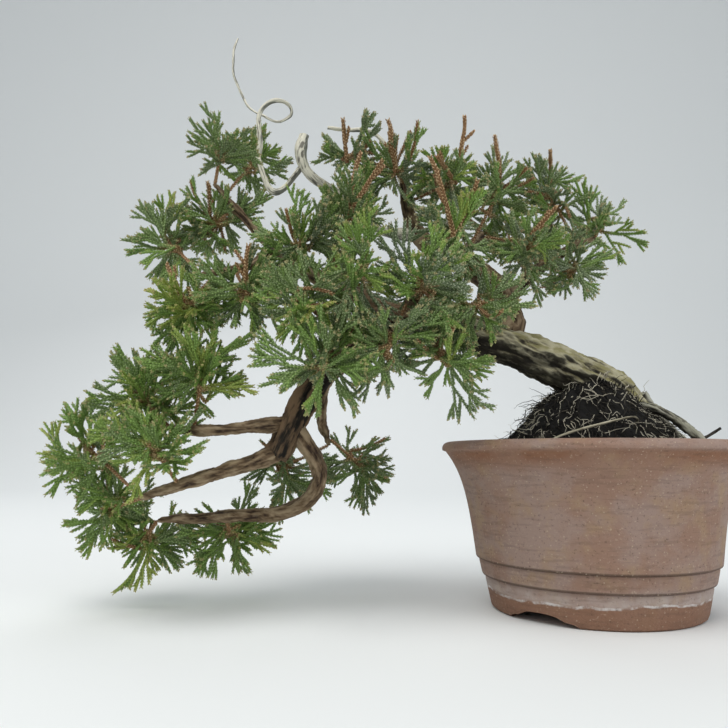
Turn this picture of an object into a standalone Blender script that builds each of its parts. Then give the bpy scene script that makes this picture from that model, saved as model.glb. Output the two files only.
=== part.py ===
"""Juniper bonsai with a leaning trunk, growing in a round unglazed stoneware pot.

Everything is laid out from the pot's own axis: +X to the right, +Y to the back, +Z up, with the
pot's foot on Z = 0. The last step moves the whole object so that its bounding box is centred
over the origin. The tables of the tree are in millimetres, with heights above the middle of the
soil, so the tree goes up and down with it. Everything else is in metres.
"""

import math
import random

import bmesh
import bpy
import numpy as np
from mathutils import Matrix, Vector, noise
from mathutils.bvhtree import BVHTree

OBJECT_NAME = "juniper_bonsai"
MM = 0.001

# ---- pot ----
RIM_RADIUS = 0.0468
POT_HEIGHT = 0.051
FOOT_RADIUS = 0.0318
WALL = 0.0042
LIP_BAND = 0.0027
LIP_OVERHANG = 0.0009
LIP_ROUNDING = 0.0022
LIP_FLATNESS = 0.9
BODY_OVER_FOOT = 0.0046
BODY_FLARE = ((1, 0.42), (2, 0.16), (5, 0.42))
BODY_ROWS = 9
STEP_DEPTH = 0.0007
STEP_SLOPE = 0.0004
UPPER_STEP_HEIGHT = 0.0152
LOWER_STEP_HEIGHT = 0.0100
FOOT_BAND_FLARE = 0.0021
MIDDLE_BAND_FLARE = 0.0011
FOOT_RECESS = 0.0038
FOOT_RING_WIDTH = 0.0052
FOOT_EDGE_WIDTH = 0.0006
FOOT_EDGE_HEIGHT = 0.0009
FLOOR_THICKNESS = 0.0042
INSIDE_TAPER = 0.0012
INSIDE_FLARE = ((1, 0.75), (3, 0.25))
INSIDE_CORNER = 0.0030
DRAIN_RADIUS = 0.0062
POT_SEGMENTS = 44

# ---- cloud-shaped cut-outs in the foot ring ----
CLOUD_COUNT = 3
CLOUD_HALF_WIDTH = 0.0110
CLOUD_ARCH_HALF_WIDTH = 0.0062
CLOUD_HEIGHT = 0.0031
CLOUD_SHOULDER_HEIGHT = 0.0015
CLOUD_FIRST_ANGLE = math.radians(-136.0)
CLOUD_BELOW_FOOT = 0.0010
CLOUD_ARCH_FULLNESS = 0.7

# ---- drainage ----
SCREEN_OVERLAP = 0.0033
SCREEN_THICKNESS = 0.0008
SCREEN_HOLE_RADIUS = 0.0011
SCREEN_PITCH = 0.0042
SCREEN_HOLES_ROUND = 6
CLIP_WIRE_RADIUS = 0.0005
CLIP_REACH = 0.0040
CLIP_SHOULDER = 0.0006
CLIP_KNEE = 0.0004

# ---- soil and roots ----
SOIL_BELOW_RIM = 0.0032
SOIL_CROWN = 0.0012
MOUND_HALF_LENGTH = 0.0275
MOUND_HALF_DEPTH = 0.0215
MOUND_HEIGHT = 0.0240
MOUND_CENTRE_X = 0.0010
MOUND_EDGE = 0.0004
MOUND_WAVES = ((5, 0.07, 1.0), (9, 0.05, 2.0))

# ---- fits ----
CLEARANCE = 0.0003
LIMB_MARGIN = 0.0005
LUMP_SIZE = 0.006
WELD_DISTANCE = 0.00001

# ---- foliage ----
CORE_RADIUS = 0.0028
STEM_TIP_SCALE = 0.55
STEM_FOOT_RADIUS = 0.0009
SHOOT_TIP_RADIUS = 0.00075
SHOOT_TIP_SCALE = 0.45
SHOOT_GAP = 0.0018
SHOOT_FEELER = 0.0010
SHOOT_SHORTEST_SHARE = 0.72
LOW_SHOOT_SHARE = 0.55
BENT_SHOOTS = 6
ELBOW_SHARE = 0.55
ELBOW_SCALE = 0.62
BENT_TIP_SCALE = 0.72
LEAN_OUTWARDS = 0.30
LEAN_UPWARDS = 0.15
BENT_RISE = 0.35
FOLIAGE_FLOOR = 0.0085
NEIGHBOUR_DISTANCE = 0.050
SEAT_SPACING = 0.0045

# Each limb: the limb that bears it, bark roughness in mm, and its path as x, y, z, radius in mm.
# A path starts on the centre line of the limb that bears it.
LIMBS = {
    "trunk": (None, 0.55, [
        (16.5, 3.0, 8.5, 6.6), (10.5, 3.0, 17.0, 7.0), (1.5, 1.0, 22.0, 6.9),
        (-8.7, -1.0, 26.2, 6.6), (-18.8, -3.0, 29.8, 6.3), (-27.8, -5.0, 32.9, 5.9),
        (-37.0, -7.0, 35.6, 5.5), (-46.7, -9.0, 38.0, 5.2), (-56.3, -11.0, 39.4, 5.0),
        (-65.7, -13.0, 37.9, 4.8), (-75.9, -15.0, 30.8, 4.5), (-85.3, -17.0, 20.4, 4.1),
        (-91.6, -19.0, 10.0, 3.8), (-95.1, -20.0, 1.7, 3.4), (-97.3, -20.0, -3.5, 3.0),
    ]),
    "apex_stem": ("trunk", 0.40, [
        (-24.5, -4.0, 32.0, 4.3), (-24.6, -4.0, 39.4, 4.3), (-26.6, -3.0, 47.4, 4.1),
        (-31.8, -3.0, 54.6, 3.9), (-40.2, -3.0, 60.5, 3.6), (-49.9, -2.0, 65.5, 3.2),
        (-55.7, 0.0, 73.1, 2.6), (-58.2, 2.0, 83.6, 1.9), (-59.4, 3.0, 94.7, 1.2),
    ]),
    "crown_right_branch": ("apex_stem", 0.25, [
        (-26.9, -3.0, 48.0, 2.3), (-18.0, 2.0, 55.9, 2.1), (-9.6, 6.0, 63.3, 1.8),
        (-0.6, 8.0, 68.9, 1.5), (7.5, 8.0, 72.5, 1.1),
    ]),
    "crown_back_branch": ("apex_stem", 0.25, [
        (-40.2, -3.0, 60.5, 2.3), (-36.0, 10.0, 69.0, 2.0), (-30.5, 22.0, 76.5, 1.6),
        (-27.0, 31.0, 81.5, 1.1),
    ]),
    "crown_front_branch": ("trunk", 0.25, [
        (-46.7, -9.0, 38.0, 2.3), (-51.5, -20.0, 39.5, 2.0), (-57.0, -30.0, 40.0, 1.5),
        (-60.5, -37.0, 39.0, 1.1),
    ]),
    "upper_left_branch": ("trunk", 0.30, [
        (-60.0, -12.0, 39.0, 3.0), (-71.9, -9.0, 46.5, 2.8), (-83.2, -7.0, 52.0, 2.5),
        (-93.2, -4.0, 58.0, 2.2), (-102.9, -1.0, 66.3, 1.9), (-111.2, 0.0, 74.9, 1.5),
        (-118.2, 0.0, 82.5, 1.2), (-122.8, 0.0, 87.9, 0.9),
    ]),
    "left_middle_branch": ("upper_left_branch", 0.20, [
        (-101.9, -1.3, 65.3, 1.7), (-108.0, -5.0, 59.0, 1.6), (-115.7, -8.0, 55.9, 1.4),
        (-123.8, -10.0, 54.0, 1.0),
    ]),
    "centre_front_branch": ("trunk", 0.25, [
        (-75.9, -15.0, 30.8, 2.3), (-79.1, -26.0, 33.5, 1.9), (-83.7, -36.0, 34.5, 1.3),
    ]),
    "back_branch": ("trunk", 0.25, [
        (-82.0, -16.5, 24.0, 2.3), (-85.5, -2.0, 18.0, 2.0), (-86.4, 12.0, 9.5, 1.6),
        (-84.2, 24.0, 1.5, 1.1),
    ]),
    "lower_left_branch": ("trunk", 0.25, [
        (-96.3, -20.0, -1.0, 2.5), (-102.5, -21.0, -4.4, 2.3), (-110.7, -21.0, -6.8, 2.0),
        (-120.7, -21.0, -9.9, 1.8), (-129.5, -20.0, -12.8, 1.5), (-137.0, -18.0, -15.0, 1.1),
    ]),
    "hooked_branch": ("trunk", 0.30, [
        (-93.4, -19.5, 5.8, 2.6), (-87.8, -14.5, -1.6, 2.5), (-85.6, -9.5, -9.4, 2.4),
        (-89.8, -6.0, -16.8, 2.3), (-99.5, -4.0, -20.6, 2.2), (-111.9, -4.0, -21.3, 1.9),
        (-124.3, -4.0, -22.0, 1.6), (-135.5, -5.0, -22.5, 1.1),
    ]),
    "forked_branch": ("trunk", 0.20, [
        (-93.0, -19.4, 7.0, 2.0), (-101.0, -23.0, 5.8, 1.8), (-110.0, -25.5, 4.6, 1.6),
        (-119.5, -25.5, 4.0, 1.3), (-128.0, -23.5, 5.0, 1.0),
    ]),
    "deadwood_stem": ("apex_stem", 0.22, [
        (-55.5, -0.2, 71.8, 1.7), (-62.0, 0.5, 70.3, 1.6), (-69.7, 2.0, 75.2, 1.5),
        (-76.5, 4.0, 82.0, 1.5), (-82.4, 4.0, 87.2, 1.6), (-88.5, 2.0, 90.4, 1.8),
        (-92.4, 1.0, 94.0, 2.0), (-93.9, 0.0, 98.2, 2.25), (-93.8, 0.0, 102.0, 2.3),
        (-92.9, 0.0, 105.6, 1.3),
    ]),
    "deadwood_curl": ("deadwood_stem", 0.08, [
        (-93.4, 0.6, 96.0, 1.2), (-95.4, 2.0, 93.0, 1.2), (-98.0, 1.6, 89.2, 1.2),
        (-100.4, 0.6, 86.3, 1.15), (-102.7, -0.6, 85.3, 1.1), (-104.7, -1.0, 86.8, 1.0),
        (-106.0, -1.0, 90.0, 1.0), (-107.4, -1.0, 93.8, 1.0), (-108.4, -1.0, 97.3, 1.0),
        (-107.8, -1.0, 100.4, 1.05), (-107.9, -1.0, 104.0, 1.0), (-108.3, -1.0, 107.5, 0.9),
        (-108.6, -1.0, 110.8, 0.9), (-107.7, -1.0, 114.1, 0.9), (-105.6, -1.0, 116.5, 0.9),
        (-102.7, -1.0, 117.8, 0.9), (-99.7, -0.6, 117.4, 0.9), (-97.8, 0.3, 115.9, 0.85),
        (-97.7, 1.5, 113.9, 0.75), (-99.6, 2.6, 112.9, 0.65), (-102.0, 3.4, 112.3, 0.6),
        (-104.6, 4.0, 113.2, 0.6), (-107.4, 4.4, 114.9, 0.6), (-110.9, 4.6, 116.6, 0.6),
        (-113.5, 4.8, 119.0, 0.6), (-115.6, 5.0, 123.3, 0.6), (-117.4, 5.0, 127.4, 0.6),
        (-118.8, 5.0, 131.6, 0.6), (-119.0, 5.0, 136.5, 0.65), (-118.7, 5.0, 140.8, 0.6),
        (-117.6, 5.0, 144.5, 0.4),
    ]),
    "deadwood_twig": ("apex_stem", 0.10, [
        (-58.2, 2.0, 83.6, 0.8), (-59.0, 7.5, 90.0, 0.8), (-61.5, 8.5, 99.0, 0.8),
        (-64.5, 8.0, 105.5, 0.8), (-68.0, 7.0, 109.0, 0.75), (-71.5, 6.0, 110.6, 0.75),
        (-78.0, 5.0, 110.2, 0.75), (-85.2, 4.5, 110.8, 0.6),
    ]),
    "deadwood_stub": ("apex_stem", 0.15, [
        (-43.6, -2.6, 62.3, 1.3), (-46.4, -5.5, 67.2, 1.2), (-45.8, -7.0, 70.6, 1.1),
        (-44.0, -8.0, 74.2, 0.8),
    ]),
}

# Each exposed root: bark roughness, the point x, y, z, radius in mm on the trunk's centre line that
# it starts from, and its run over the soil as shares of the soil's radius to the right and to the
# back, with its height above the soil's surface there and its radius in mm.
ROOTS = {
    "root_right": (0.30, (12.0, 3.0, 15.0, 2.3), [
        (0.504, 0.087, 14.8, 2.1), (0.639, 0.112, 10.1, 1.8), (0.762, 0.137, 5.7, 1.5),
        (0.862, 0.150, 1.7, 1.2),
    ]),
    "root_front_right": (0.30, (13.0, 1.0, 13.0, 1.9), [
        (0.487, -0.187, 12.3, 1.7), (0.637, -0.350, 6.6, 1.4), (0.724, -0.450, 1.6, 1.1),
    ]),
    "root_back": (0.30, (8.0, 4.0, 16.0, 2.0), [
        (0.200, 0.362, 14.7, 1.8), (0.237, 0.537, 8.4, 1.5), (0.275, 0.649, 1.6, 1.1),
    ]),
}

# Each spray of foliage: the limb that bears it, and its middle and reach in mm.
SPRAYS = {
    "spray_top_left": ("upper_left_branch", (-120.5, -2.0, 100.5), 14.0),
    "spray_top_left_back": ("upper_left_branch", (-110.0, 9.0, 102.0), 14.0),
    "spray_left_outer": ("left_middle_branch", (-139.5, 2.0, 70.0), 17.0),
    "spray_left_inner": ("upper_left_branch", (-126.5, 8.0, 75.0), 15.0),
    "spray_left_bright": ("left_middle_branch", (-127.0, -14.0, 43.5), 16.0),
    "spray_left_front": ("left_middle_branch", (-107.0, -22.0, 44.0), 16.0),
    "spray_low_far_left": ("lower_left_branch", (-159.5, -9.0, 2.0), 17.0),
    "spray_low_left_top": ("forked_branch", (-141.0, -14.0, 16.5), 17.0),
    "spray_low_middle_top": ("forked_branch", (-119.0, -24.0, 22.0), 16.0),
    "spray_low_left": ("lower_left_branch", (-153.0, -3.0, -20.0), 16.0),
    "spray_low_bottom_left": ("hooked_branch", (-141.0, 1.0, -29.0), 15.0),
    "spray_low_bottom": ("hooked_branch", (-115.0, 7.0, -28.5), 16.0),
    "spray_low_front": ("lower_left_branch", (-130.0, -34.0, 0.0), 16.0),
    "spray_centre_top": ("upper_left_branch", (-92.0, -19.0, 62.0), 17.0),
    "spray_centre_crown": ("upper_left_branch", (-76.5, -16.0, 73.0), 16.0),
    "spray_centre_left": ("centre_front_branch", (-90.0, -38.0, 40.0), 16.0),
    "spray_centre": ("centre_front_branch", (-72.5, -39.0, 49.0), 17.0),
    "spray_centre_low": ("centre_front_branch", (-84.0, -41.0, 19.5), 17.0),
    "spray_centre_low_right": ("crown_front_branch", (-66.5, -36.0, 24.0), 16.0),
    "spray_centre_right": ("crown_front_branch", (-55.5, -40.0, 43.5), 16.0),
    "spray_rim": ("crown_front_branch", (-49.0, -30.0, 22.5), 18.0),
    "spray_right_front": ("crown_front_branch", (-37.0, -28.0, 41.0), 17.0),
    "spray_crown_left": ("apex_stem", (-78.5, -1.0, 97.5), 15.0),
    "spray_crown_top": ("apex_stem", (-62.0, -6.0, 92.0), 16.0),
    "spray_crown_middle": ("apex_stem", (-43.5, -9.0, 86.0), 17.0),
    "spray_crown_rise": ("apex_stem", (-26.5, 0.0, 87.0), 17.0),
    "spray_crown_right_top": ("crown_right_branch", (-8.0, 9.0, 90.0), 17.0),
    "spray_crown_right_end": ("crown_right_branch", (9.0, 8.0, 77.5), 16.0),
    "spray_crown_right_low": ("crown_right_branch", (-3.0, 0.0, 58.0), 16.0),
    "spray_crown_right_front": ("crown_right_branch", (-22.0, -15.0, 64.0), 15.0),
    "spray_crown_front": ("apex_stem", (-46.0, -27.0, 61.5), 16.0),
    "spray_back_top": ("crown_back_branch", (-37.0, 35.0, 92.0), 17.0),
    "spray_back_right": ("crown_back_branch", (-10.0, 31.0, 78.0), 17.0),
    "spray_back_left": ("upper_left_branch", (-81.0, 18.0, 61.0), 18.0),
    "spray_back_low_left": ("back_branch", (-103.0, 22.0, -8.0), 16.0),
    "spray_back_low_right": ("back_branch", (-73.0, 27.0, -6.0), 16.0),
}

COLOURS = {
    "stoneware": ((0.150, 0.085, 0.058), 0.85, 0.0),
    "soil": ((0.045, 0.034, 0.024), 0.95, 0.0),
    "screen": ((0.020, 0.020, 0.022), 0.60, 0.0),
    "wire": ((0.550, 0.560, 0.570), 0.35, 1.0),
    "bark": ((0.190, 0.130, 0.080), 0.90, 0.0),
    "deadwood": ((0.620, 0.590, 0.480), 0.75, 0.0),
    "root": ((0.150, 0.110, 0.075), 0.90, 0.0),
    "root_mat": ((0.025, 0.020, 0.016), 0.95, 0.0),
    "foliage": ((0.070, 0.150, 0.060), 0.60, 0.0),
}


def make_material(name):
    """Principled material of one of the named colours."""
    if name in bpy.data.materials:
        return bpy.data.materials[name]
    colour, roughness, metallic = COLOURS[name]
    material = bpy.data.materials.new(name)
    material.use_nodes = True
    shader = material.node_tree.nodes["Principled BSDF"]
    shader.inputs["Base Color"].default_value = (*colour, 1.0)
    shader.inputs["Roughness"].default_value = roughness
    shader.inputs["Metallic"].default_value = metallic
    material.diffuse_color = (*colour, 1.0)
    return material


def clear_scene():
    for old in list(bpy.data.objects):
        bpy.data.objects.remove(old, do_unlink=True)


def make_collection(name):
    collection = bpy.data.collections.new(name)
    bpy.context.scene.collection.children.link(collection)
    return collection


class Bench:
    """The collections and the empty that everything is parented to."""

    def __init__(self):
        self.parts = make_collection(OBJECT_NAME)
        self.cutters = make_collection("cutters")
        self.axis = bpy.data.objects.new("pot_axis", None)
        self.parts.objects.link(self.axis)

    def add_part(self, name, mesh, material, location=(0.0, 0.0, 0.0)):
        part = bpy.data.objects.new(name, mesh)
        part.location = location
        part.parent = self.axis
        mesh.materials.clear()
        mesh.materials.append(make_material(material))
        self.parts.objects.link(part)
        return part

    def add_cutter(self, name, mesh, location=(0.0, 0.0, 0.0), turn=0.0):
        cutter = bpy.data.objects.new(name, mesh)
        cutter.location = location
        cutter.rotation_euler.z = turn
        cutter.parent = self.axis
        cutter.hide_render = True
        cutter.display_type = "WIRE"
        self.cutters.objects.link(cutter)
        return cutter


def add_cut(part, cutter):
    cut = part.modifiers.new("cut_" + cutter.name, "BOOLEAN")
    cut.operation = "DIFFERENCE"
    cut.solver = "EXACT"
    cut.object = cutter


def shade_round(mesh, sharp_angle=math.radians(40.0)):
    mesh.shade_smooth()
    mesh.set_sharp_from_angle(angle=sharp_angle)


def evaluated_mesh(thing):
    bpy.context.view_layer.update()
    graph = bpy.context.evaluated_depsgraph_get()
    return bpy.data.meshes.new_from_object(thing.evaluated_get(graph), depsgraph=graph)


def weld(mesh):
    cage = bmesh.new()
    cage.from_mesh(mesh)
    bmesh.ops.remove_doubles(cage, verts=cage.verts, dist=WELD_DISTANCE)
    bmesh.ops.recalc_face_normals(cage, faces=cage.faces)
    cage.to_mesh(mesh)
    cage.free()


def turned_mesh(name, profile, segments, closed):
    """Solid turned about Z from a profile of radius and height that runs down its outer side."""
    outline = bpy.data.meshes.new(name + "_profile")
    edges = [(i, i + 1) for i in range(len(profile) - 1)]
    if closed:
        edges.append((len(profile) - 1, 0))
    outline.from_pydata([(radius, 0.0, height) for radius, height in profile], edges, [])
    blank = bpy.data.objects.new(name + "_blank", outline)
    bpy.context.scene.collection.objects.link(blank)
    screw = blank.modifiers.new("turn", "SCREW")
    screw.axis = "Z"
    screw.steps = segments
    screw.render_steps = segments
    screw.use_merge_vertices = True
    screw.merge_threshold = WELD_DISTANCE
    mesh = evaluated_mesh(blank)
    bpy.data.objects.remove(blank)
    weld(mesh)
    mesh.name = name
    return mesh


def smooth_path(points, per_span):
    """Points on a smooth curve through the given points of x, y, z, radius."""
    knots = [Vector(point) for point in points]
    padded = [2 * knots[0] - knots[1]] + knots + [2 * knots[-1] - knots[-2]]
    path = []
    for start in range(len(knots) - 1):
        before, here, there, after = padded[start:start + 4]
        for step in range(per_span):
            t = step / per_span
            path.append(0.5 * (
                2 * here
                + (there - before) * t
                + (2 * before - 5 * here + 4 * there - after) * t * t
                + (3 * here - before - 3 * there + after) * t * t * t
            ))
    path.append(knots[-1])
    return path


def tube_mesh(name, path, resolution):
    """Closed tube along a path of x, y, z, radius."""
    curve = bpy.data.curves.new(name + "_curve", "CURVE")
    curve.dimensions = "3D"
    curve.bevel_depth = 1.0
    curve.bevel_resolution = resolution
    curve.use_fill_caps = True
    curve.resolution_u = 1
    curve.render_resolution_u = 0
    spline = curve.splines.new("POLY")
    spline.points.add(len(path) - 1)
    for point, place in zip(spline.points, path):
        point.co = (*place[:3], 1.0)
        point.radius = place[3]
    wire = bpy.data.objects.new(name + "_wire", curve)
    bpy.context.scene.collection.objects.link(wire)
    mesh = evaluated_mesh(wire)
    bpy.data.objects.remove(wire)
    bpy.data.curves.remove(curve)
    weld(mesh)
    mesh.name = name
    return mesh


def roughen(mesh, depth, seed):
    """Moves each corner in or out by a lumpy, seeded amount; the lumps go up and down with the soil."""
    shift = Vector((17.3, 5.1, 11.7)) * seed
    soil = Vector((0.0, 0.0, soil_top(0.0)))
    moves = [
        vertex.normal * (noise.noise((vertex.co - soil) / LUMP_SIZE + shift) * depth)
        for vertex in mesh.vertices
    ]
    for vertex, move in zip(mesh.vertices, moves):
        vertex.co += move


def wall_radius(height):
    """Radius of the pot's flared outer wall at a height between its foot and its lip."""
    if height < LOWER_STEP_HEIGHT:
        return FOOT_RADIUS + FOOT_BAND_FLARE * height / LOWER_STEP_HEIGHT
    if height < UPPER_STEP_HEIGHT:
        rise = (height - LOWER_STEP_HEIGHT) / (UPPER_STEP_HEIGHT - LOWER_STEP_HEIGHT)
        return FOOT_RADIUS + FOOT_BAND_FLARE + STEP_DEPTH + MIDDLE_BAND_FLARE * rise
    rise = (height - UPPER_STEP_HEIGHT) / (POT_HEIGHT - LIP_BAND - UPPER_STEP_HEIGHT)
    base = FOOT_RADIUS + BODY_OVER_FOOT
    return base + (RIM_RADIUS - LIP_OVERHANG - base) * flared(rise, BODY_FLARE)


def flared(rise, shape):
    """Share of a flare reached at a rise of 0 to 1, as a sum of powers of the rise."""
    return sum(share * rise ** power for power, share in shape)


def floor_top():
    """Height of the pot's inner floor."""
    return FOOT_RECESS + FLOOR_THICKNESS


def inner_radius(height):
    """Radius of the pot's inner wall."""
    rise = (height - floor_top()) / (POT_HEIGHT - floor_top())
    base = FOOT_RADIUS - WALL + INSIDE_TAPER
    mouth = RIM_RADIUS - WALL - INSIDE_TAPER
    return base + (mouth - base) * flared(rise, INSIDE_FLARE)


def pot_profile():
    """Outer side from lip to foot, then the underside, the drain hole and the inside."""
    lip_low = POT_HEIGHT - LIP_BAND
    floor = floor_top()
    points = []
    for angle in (90, 55, 25, -10):
        turn = math.radians(angle)
        points.append((RIM_RADIUS - LIP_ROUNDING * (1.0 - math.cos(turn)),
                       POT_HEIGHT - LIP_ROUNDING * (1.0 - math.sin(turn)) * LIP_FLATNESS))
    for row in range(BODY_ROWS + 1):
        height = lip_low + (UPPER_STEP_HEIGHT - lip_low) * (row / BODY_ROWS) ** 0.8
        points.append((wall_radius(height), height))
    points += [
        (wall_radius(UPPER_STEP_HEIGHT) - STEP_DEPTH, UPPER_STEP_HEIGHT - STEP_SLOPE),
        (wall_radius(LOWER_STEP_HEIGHT), LOWER_STEP_HEIGHT),
        (wall_radius(LOWER_STEP_HEIGHT) - STEP_DEPTH, LOWER_STEP_HEIGHT - STEP_SLOPE),
        (wall_radius(FOOT_EDGE_HEIGHT), FOOT_EDGE_HEIGHT),
        (FOOT_RADIUS - FOOT_EDGE_WIDTH, 0.0),
        (FOOT_RADIUS - FOOT_RING_WIDTH, 0.0),
        (FOOT_RADIUS - FOOT_RING_WIDTH - FOOT_EDGE_WIDTH, FOOT_RECESS),
        (DRAIN_RADIUS, FOOT_RECESS),
        (DRAIN_RADIUS, floor),
        (inner_radius(floor) - INSIDE_CORNER, floor),
        (inner_radius(floor + INSIDE_CORNER), floor + INSIDE_CORNER),
    ]
    for part in (0.35, 0.7, 0.92):
        height = floor + (POT_HEIGHT - floor) * part
        points.append((inner_radius(height), height))
    points.append((inner_radius(POT_HEIGHT) + FOOT_EDGE_WIDTH, POT_HEIGHT - STEP_SLOPE))
    return points


def cloud_outline():
    """Half-width and height points of a flat arch with a lower shoulder on each side."""
    points = [(-CLOUD_HALF_WIDTH, -CLOUD_BELOW_FOOT)]
    shoulder = CLOUD_HALF_WIDTH - CLOUD_ARCH_HALF_WIDTH
    for angle in (180, 140, 100):
        turn = math.radians(angle)
        across = -CLOUD_ARCH_HALF_WIDTH + shoulder * math.cos(turn)
        points.append((across, CLOUD_SHOULDER_HEIGHT * math.sin(turn)))
    for angle in (155, 125, 90, 55, 25):
        turn = math.radians(angle)
        across = CLOUD_ARCH_HALF_WIDTH * math.cos(turn)
        rise = math.sin(turn) ** CLOUD_ARCH_FULLNESS
        points.append((across, CLOUD_SHOULDER_HEIGHT
                       + (CLOUD_HEIGHT - CLOUD_SHOULDER_HEIGHT) * rise))
    for angle in (80, 40, 0):
        turn = math.radians(angle)
        across = CLOUD_ARCH_HALF_WIDTH + shoulder * math.cos(turn)
        points.append((across, CLOUD_SHOULDER_HEIGHT * math.sin(turn)))
    points.append((CLOUD_HALF_WIDTH, -CLOUD_BELOW_FOOT))
    return points


def cloud_cutter_mesh():
    """The outline as a flat curve, extruded outwards through the foot ring."""
    curve = bpy.data.curves.new("cloud_curve", "CURVE")
    curve.dimensions = "2D"
    curve.fill_mode = "BOTH"
    curve.extrude = FOOT_RING_WIDTH
    outline = cloud_outline()
    spline = curve.splines.new("POLY")
    spline.points.add(len(outline) - 1)
    for point, (across, rise) in zip(spline.points, outline):
        point.co = (across, rise, 0.0, 1.0)
    spline.use_cyclic_u = True
    sheet = bpy.data.objects.new("cloud_sheet", curve)
    bpy.context.scene.collection.objects.link(sheet)
    mesh = evaluated_mesh(sheet)
    bpy.data.objects.remove(sheet)
    bpy.data.curves.remove(curve)
    upright = Matrix.Rotation(math.pi / 2, 4, "Z") @ Matrix.Rotation(math.pi / 2, 4, "X")
    outwards = Matrix.Translation((FOOT_RADIUS - FOOT_RING_WIDTH / 2, 0.0, 0.0))
    mesh.transform(outwards @ upright)
    weld(mesh)
    return mesh


def build_pot(bench):
    mesh = turned_mesh("pot", pot_profile(), POT_SEGMENTS, closed=True)
    shade_round(mesh)
    pot = bench.add_part("pot", mesh, "stoneware")
    cloud = cloud_cutter_mesh()
    for index in range(CLOUD_COUNT):
        turn = CLOUD_FIRST_ANGLE + index * 2 * math.pi / CLOUD_COUNT
        add_cut(pot, bench.add_cutter(f"foot_cloud_{index + 1}", cloud, turn=turn))
    return pot


def screen_radius():
    return DRAIN_RADIUS + SCREEN_OVERLAP


def build_screen(bench):
    """Perforated plastic disc over the drain hole, with a hole in the middle and more around."""
    base = floor_top() + CLEARANCE
    disc = bmesh.new()
    bmesh.ops.create_cone(
        disc, cap_ends=True, segments=24, radius1=screen_radius(), radius2=screen_radius(),
        depth=SCREEN_THICKNESS,
    )
    mesh = bpy.data.meshes.new("drain_screen")
    disc.to_mesh(mesh)
    disc.free()
    middle = base + SCREEN_THICKNESS / 2
    screen = bench.add_part("drain_screen", mesh, "screen", (0.0, 0.0, middle))
    drill = bmesh.new()
    bmesh.ops.create_cone(
        drill, cap_ends=True, segments=8, radius1=SCREEN_HOLE_RADIUS,
        radius2=SCREEN_HOLE_RADIUS, depth=4 * SCREEN_THICKNESS,
    )
    drill_mesh = bpy.data.meshes.new("screen_drill")
    drill.to_mesh(drill_mesh)
    drill.free()
    places = [(0.0, 0.0)]
    for index in range(SCREEN_HOLES_ROUND):
        turn = index * 2 * math.pi / SCREEN_HOLES_ROUND
        places.append((SCREEN_PITCH * math.cos(turn), SCREEN_PITCH * math.sin(turn)))
    for index, (x, y) in enumerate(places):
        add_cut(screen, bench.add_cutter(f"screen_drill_{index}", drill_mesh, (x, y, middle)))
    return screen


def build_clip(bench):
    """Wire clip over the screen, its legs through two of its holes and out under the floor."""
    over = floor_top() + SCREEN_THICKNESS + 2 * CLEARANCE + CLIP_WIRE_RADIUS
    under = FOOT_RECESS - CLEARANCE - CLIP_WIRE_RADIUS
    half = []
    for angle in (90, 45, 0):
        turn = math.radians(angle)
        half.append((SCREEN_PITCH - CLIP_SHOULDER * (1.0 - math.cos(turn)),
                     over - CLIP_SHOULDER * (1.0 - math.sin(turn))))
    half.append((SCREEN_PITCH, under + 2 * CLIP_KNEE))
    half.append((SCREEN_PITCH + CLIP_KNEE, under))
    half.append((DRAIN_RADIUS + CLIP_REACH, under))
    right = [(x, 0.0, z, CLIP_WIRE_RADIUS) for x, z in half]
    left = [(-x, y, z, radius) for x, y, z, radius in reversed(right)]
    mesh = tube_mesh("screen_clip", left + right, 2)
    shade_round(mesh)
    return bench.add_part("screen_clip", mesh, "wire")


def soil_edge():
    """Radius and height of the soil's edge, where it meets the pot's wall."""
    height = POT_HEIGHT - SOIL_BELOW_RIM
    return inner_radius(height) - CLEARANCE, height


def soil_top(radius):
    """Height of the soil's surface: highest in the middle."""
    edge_radius, edge_height = soil_edge()
    return edge_height + SOIL_CROWN * (1.0 - (radius / edge_radius) ** 2)


def build_soil(bench):
    """Fill of the pot, from its floor up, with room over the screen and its clip."""
    floor = floor_top()
    edge_radius, edge_height = soil_edge()
    corner = floor + INSIDE_CORNER + CLEARANCE
    over_clip = floor + SCREEN_THICKNESS + 2 * CLIP_WIRE_RADIUS + 4 * CLEARANCE
    room = screen_radius() + CLEARANCE
    points = []
    for part in (0.0, 0.25, 0.5, 0.75, 1.0):
        points.append((edge_radius * part, soil_top(edge_radius * part)))
    for part in (0.88, 0.6, 0.3):
        height = floor + (edge_height - floor) * part
        points.append((inner_radius(height) - CLEARANCE, height))
    points += [
        (inner_radius(corner) - 2 * CLEARANCE, corner),
        (inner_radius(floor) - INSIDE_CORNER - CLEARANCE, floor + CLEARANCE),
        (room, floor + CLEARANCE),
        (room, over_clip),
        (0.0, over_clip),
    ]
    mesh = turned_mesh("soil", points, 32, closed=False)
    shade_round(mesh)
    return bench.add_part("soil", mesh, "soil")


def build_mound(bench):
    """The mat of fine roots, standing on the soil under the trunk like a ragged cone."""
    base = soil_top(0.0) + CLEARANCE
    points = [(0.0, base + MOUND_HEIGHT)]
    for part in (0.25, 0.45, 0.62, 0.78, 0.92, 1.0):
        points.append((part, base + MOUND_HEIGHT * (1.0 - part ** 1.5) + MOUND_EDGE))
    points += [(1.0, base), (0.0, base)]
    mesh = turned_mesh("root_mat", points, 22, closed=False)
    for vertex in mesh.vertices:
        turn = math.atan2(vertex.co.y, vertex.co.x)
        ragged = 1.0 + sum(size * math.sin(waves * turn + start)
                           for waves, size, start in MOUND_WAVES)
        vertex.co.x = MOUND_CENTRE_X + vertex.co.x * MOUND_HALF_LENGTH * ragged
        vertex.co.y *= MOUND_HALF_DEPTH * ragged
    shade_round(mesh)
    return bench.add_part("root_mat", mesh, "root_mat")


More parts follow.
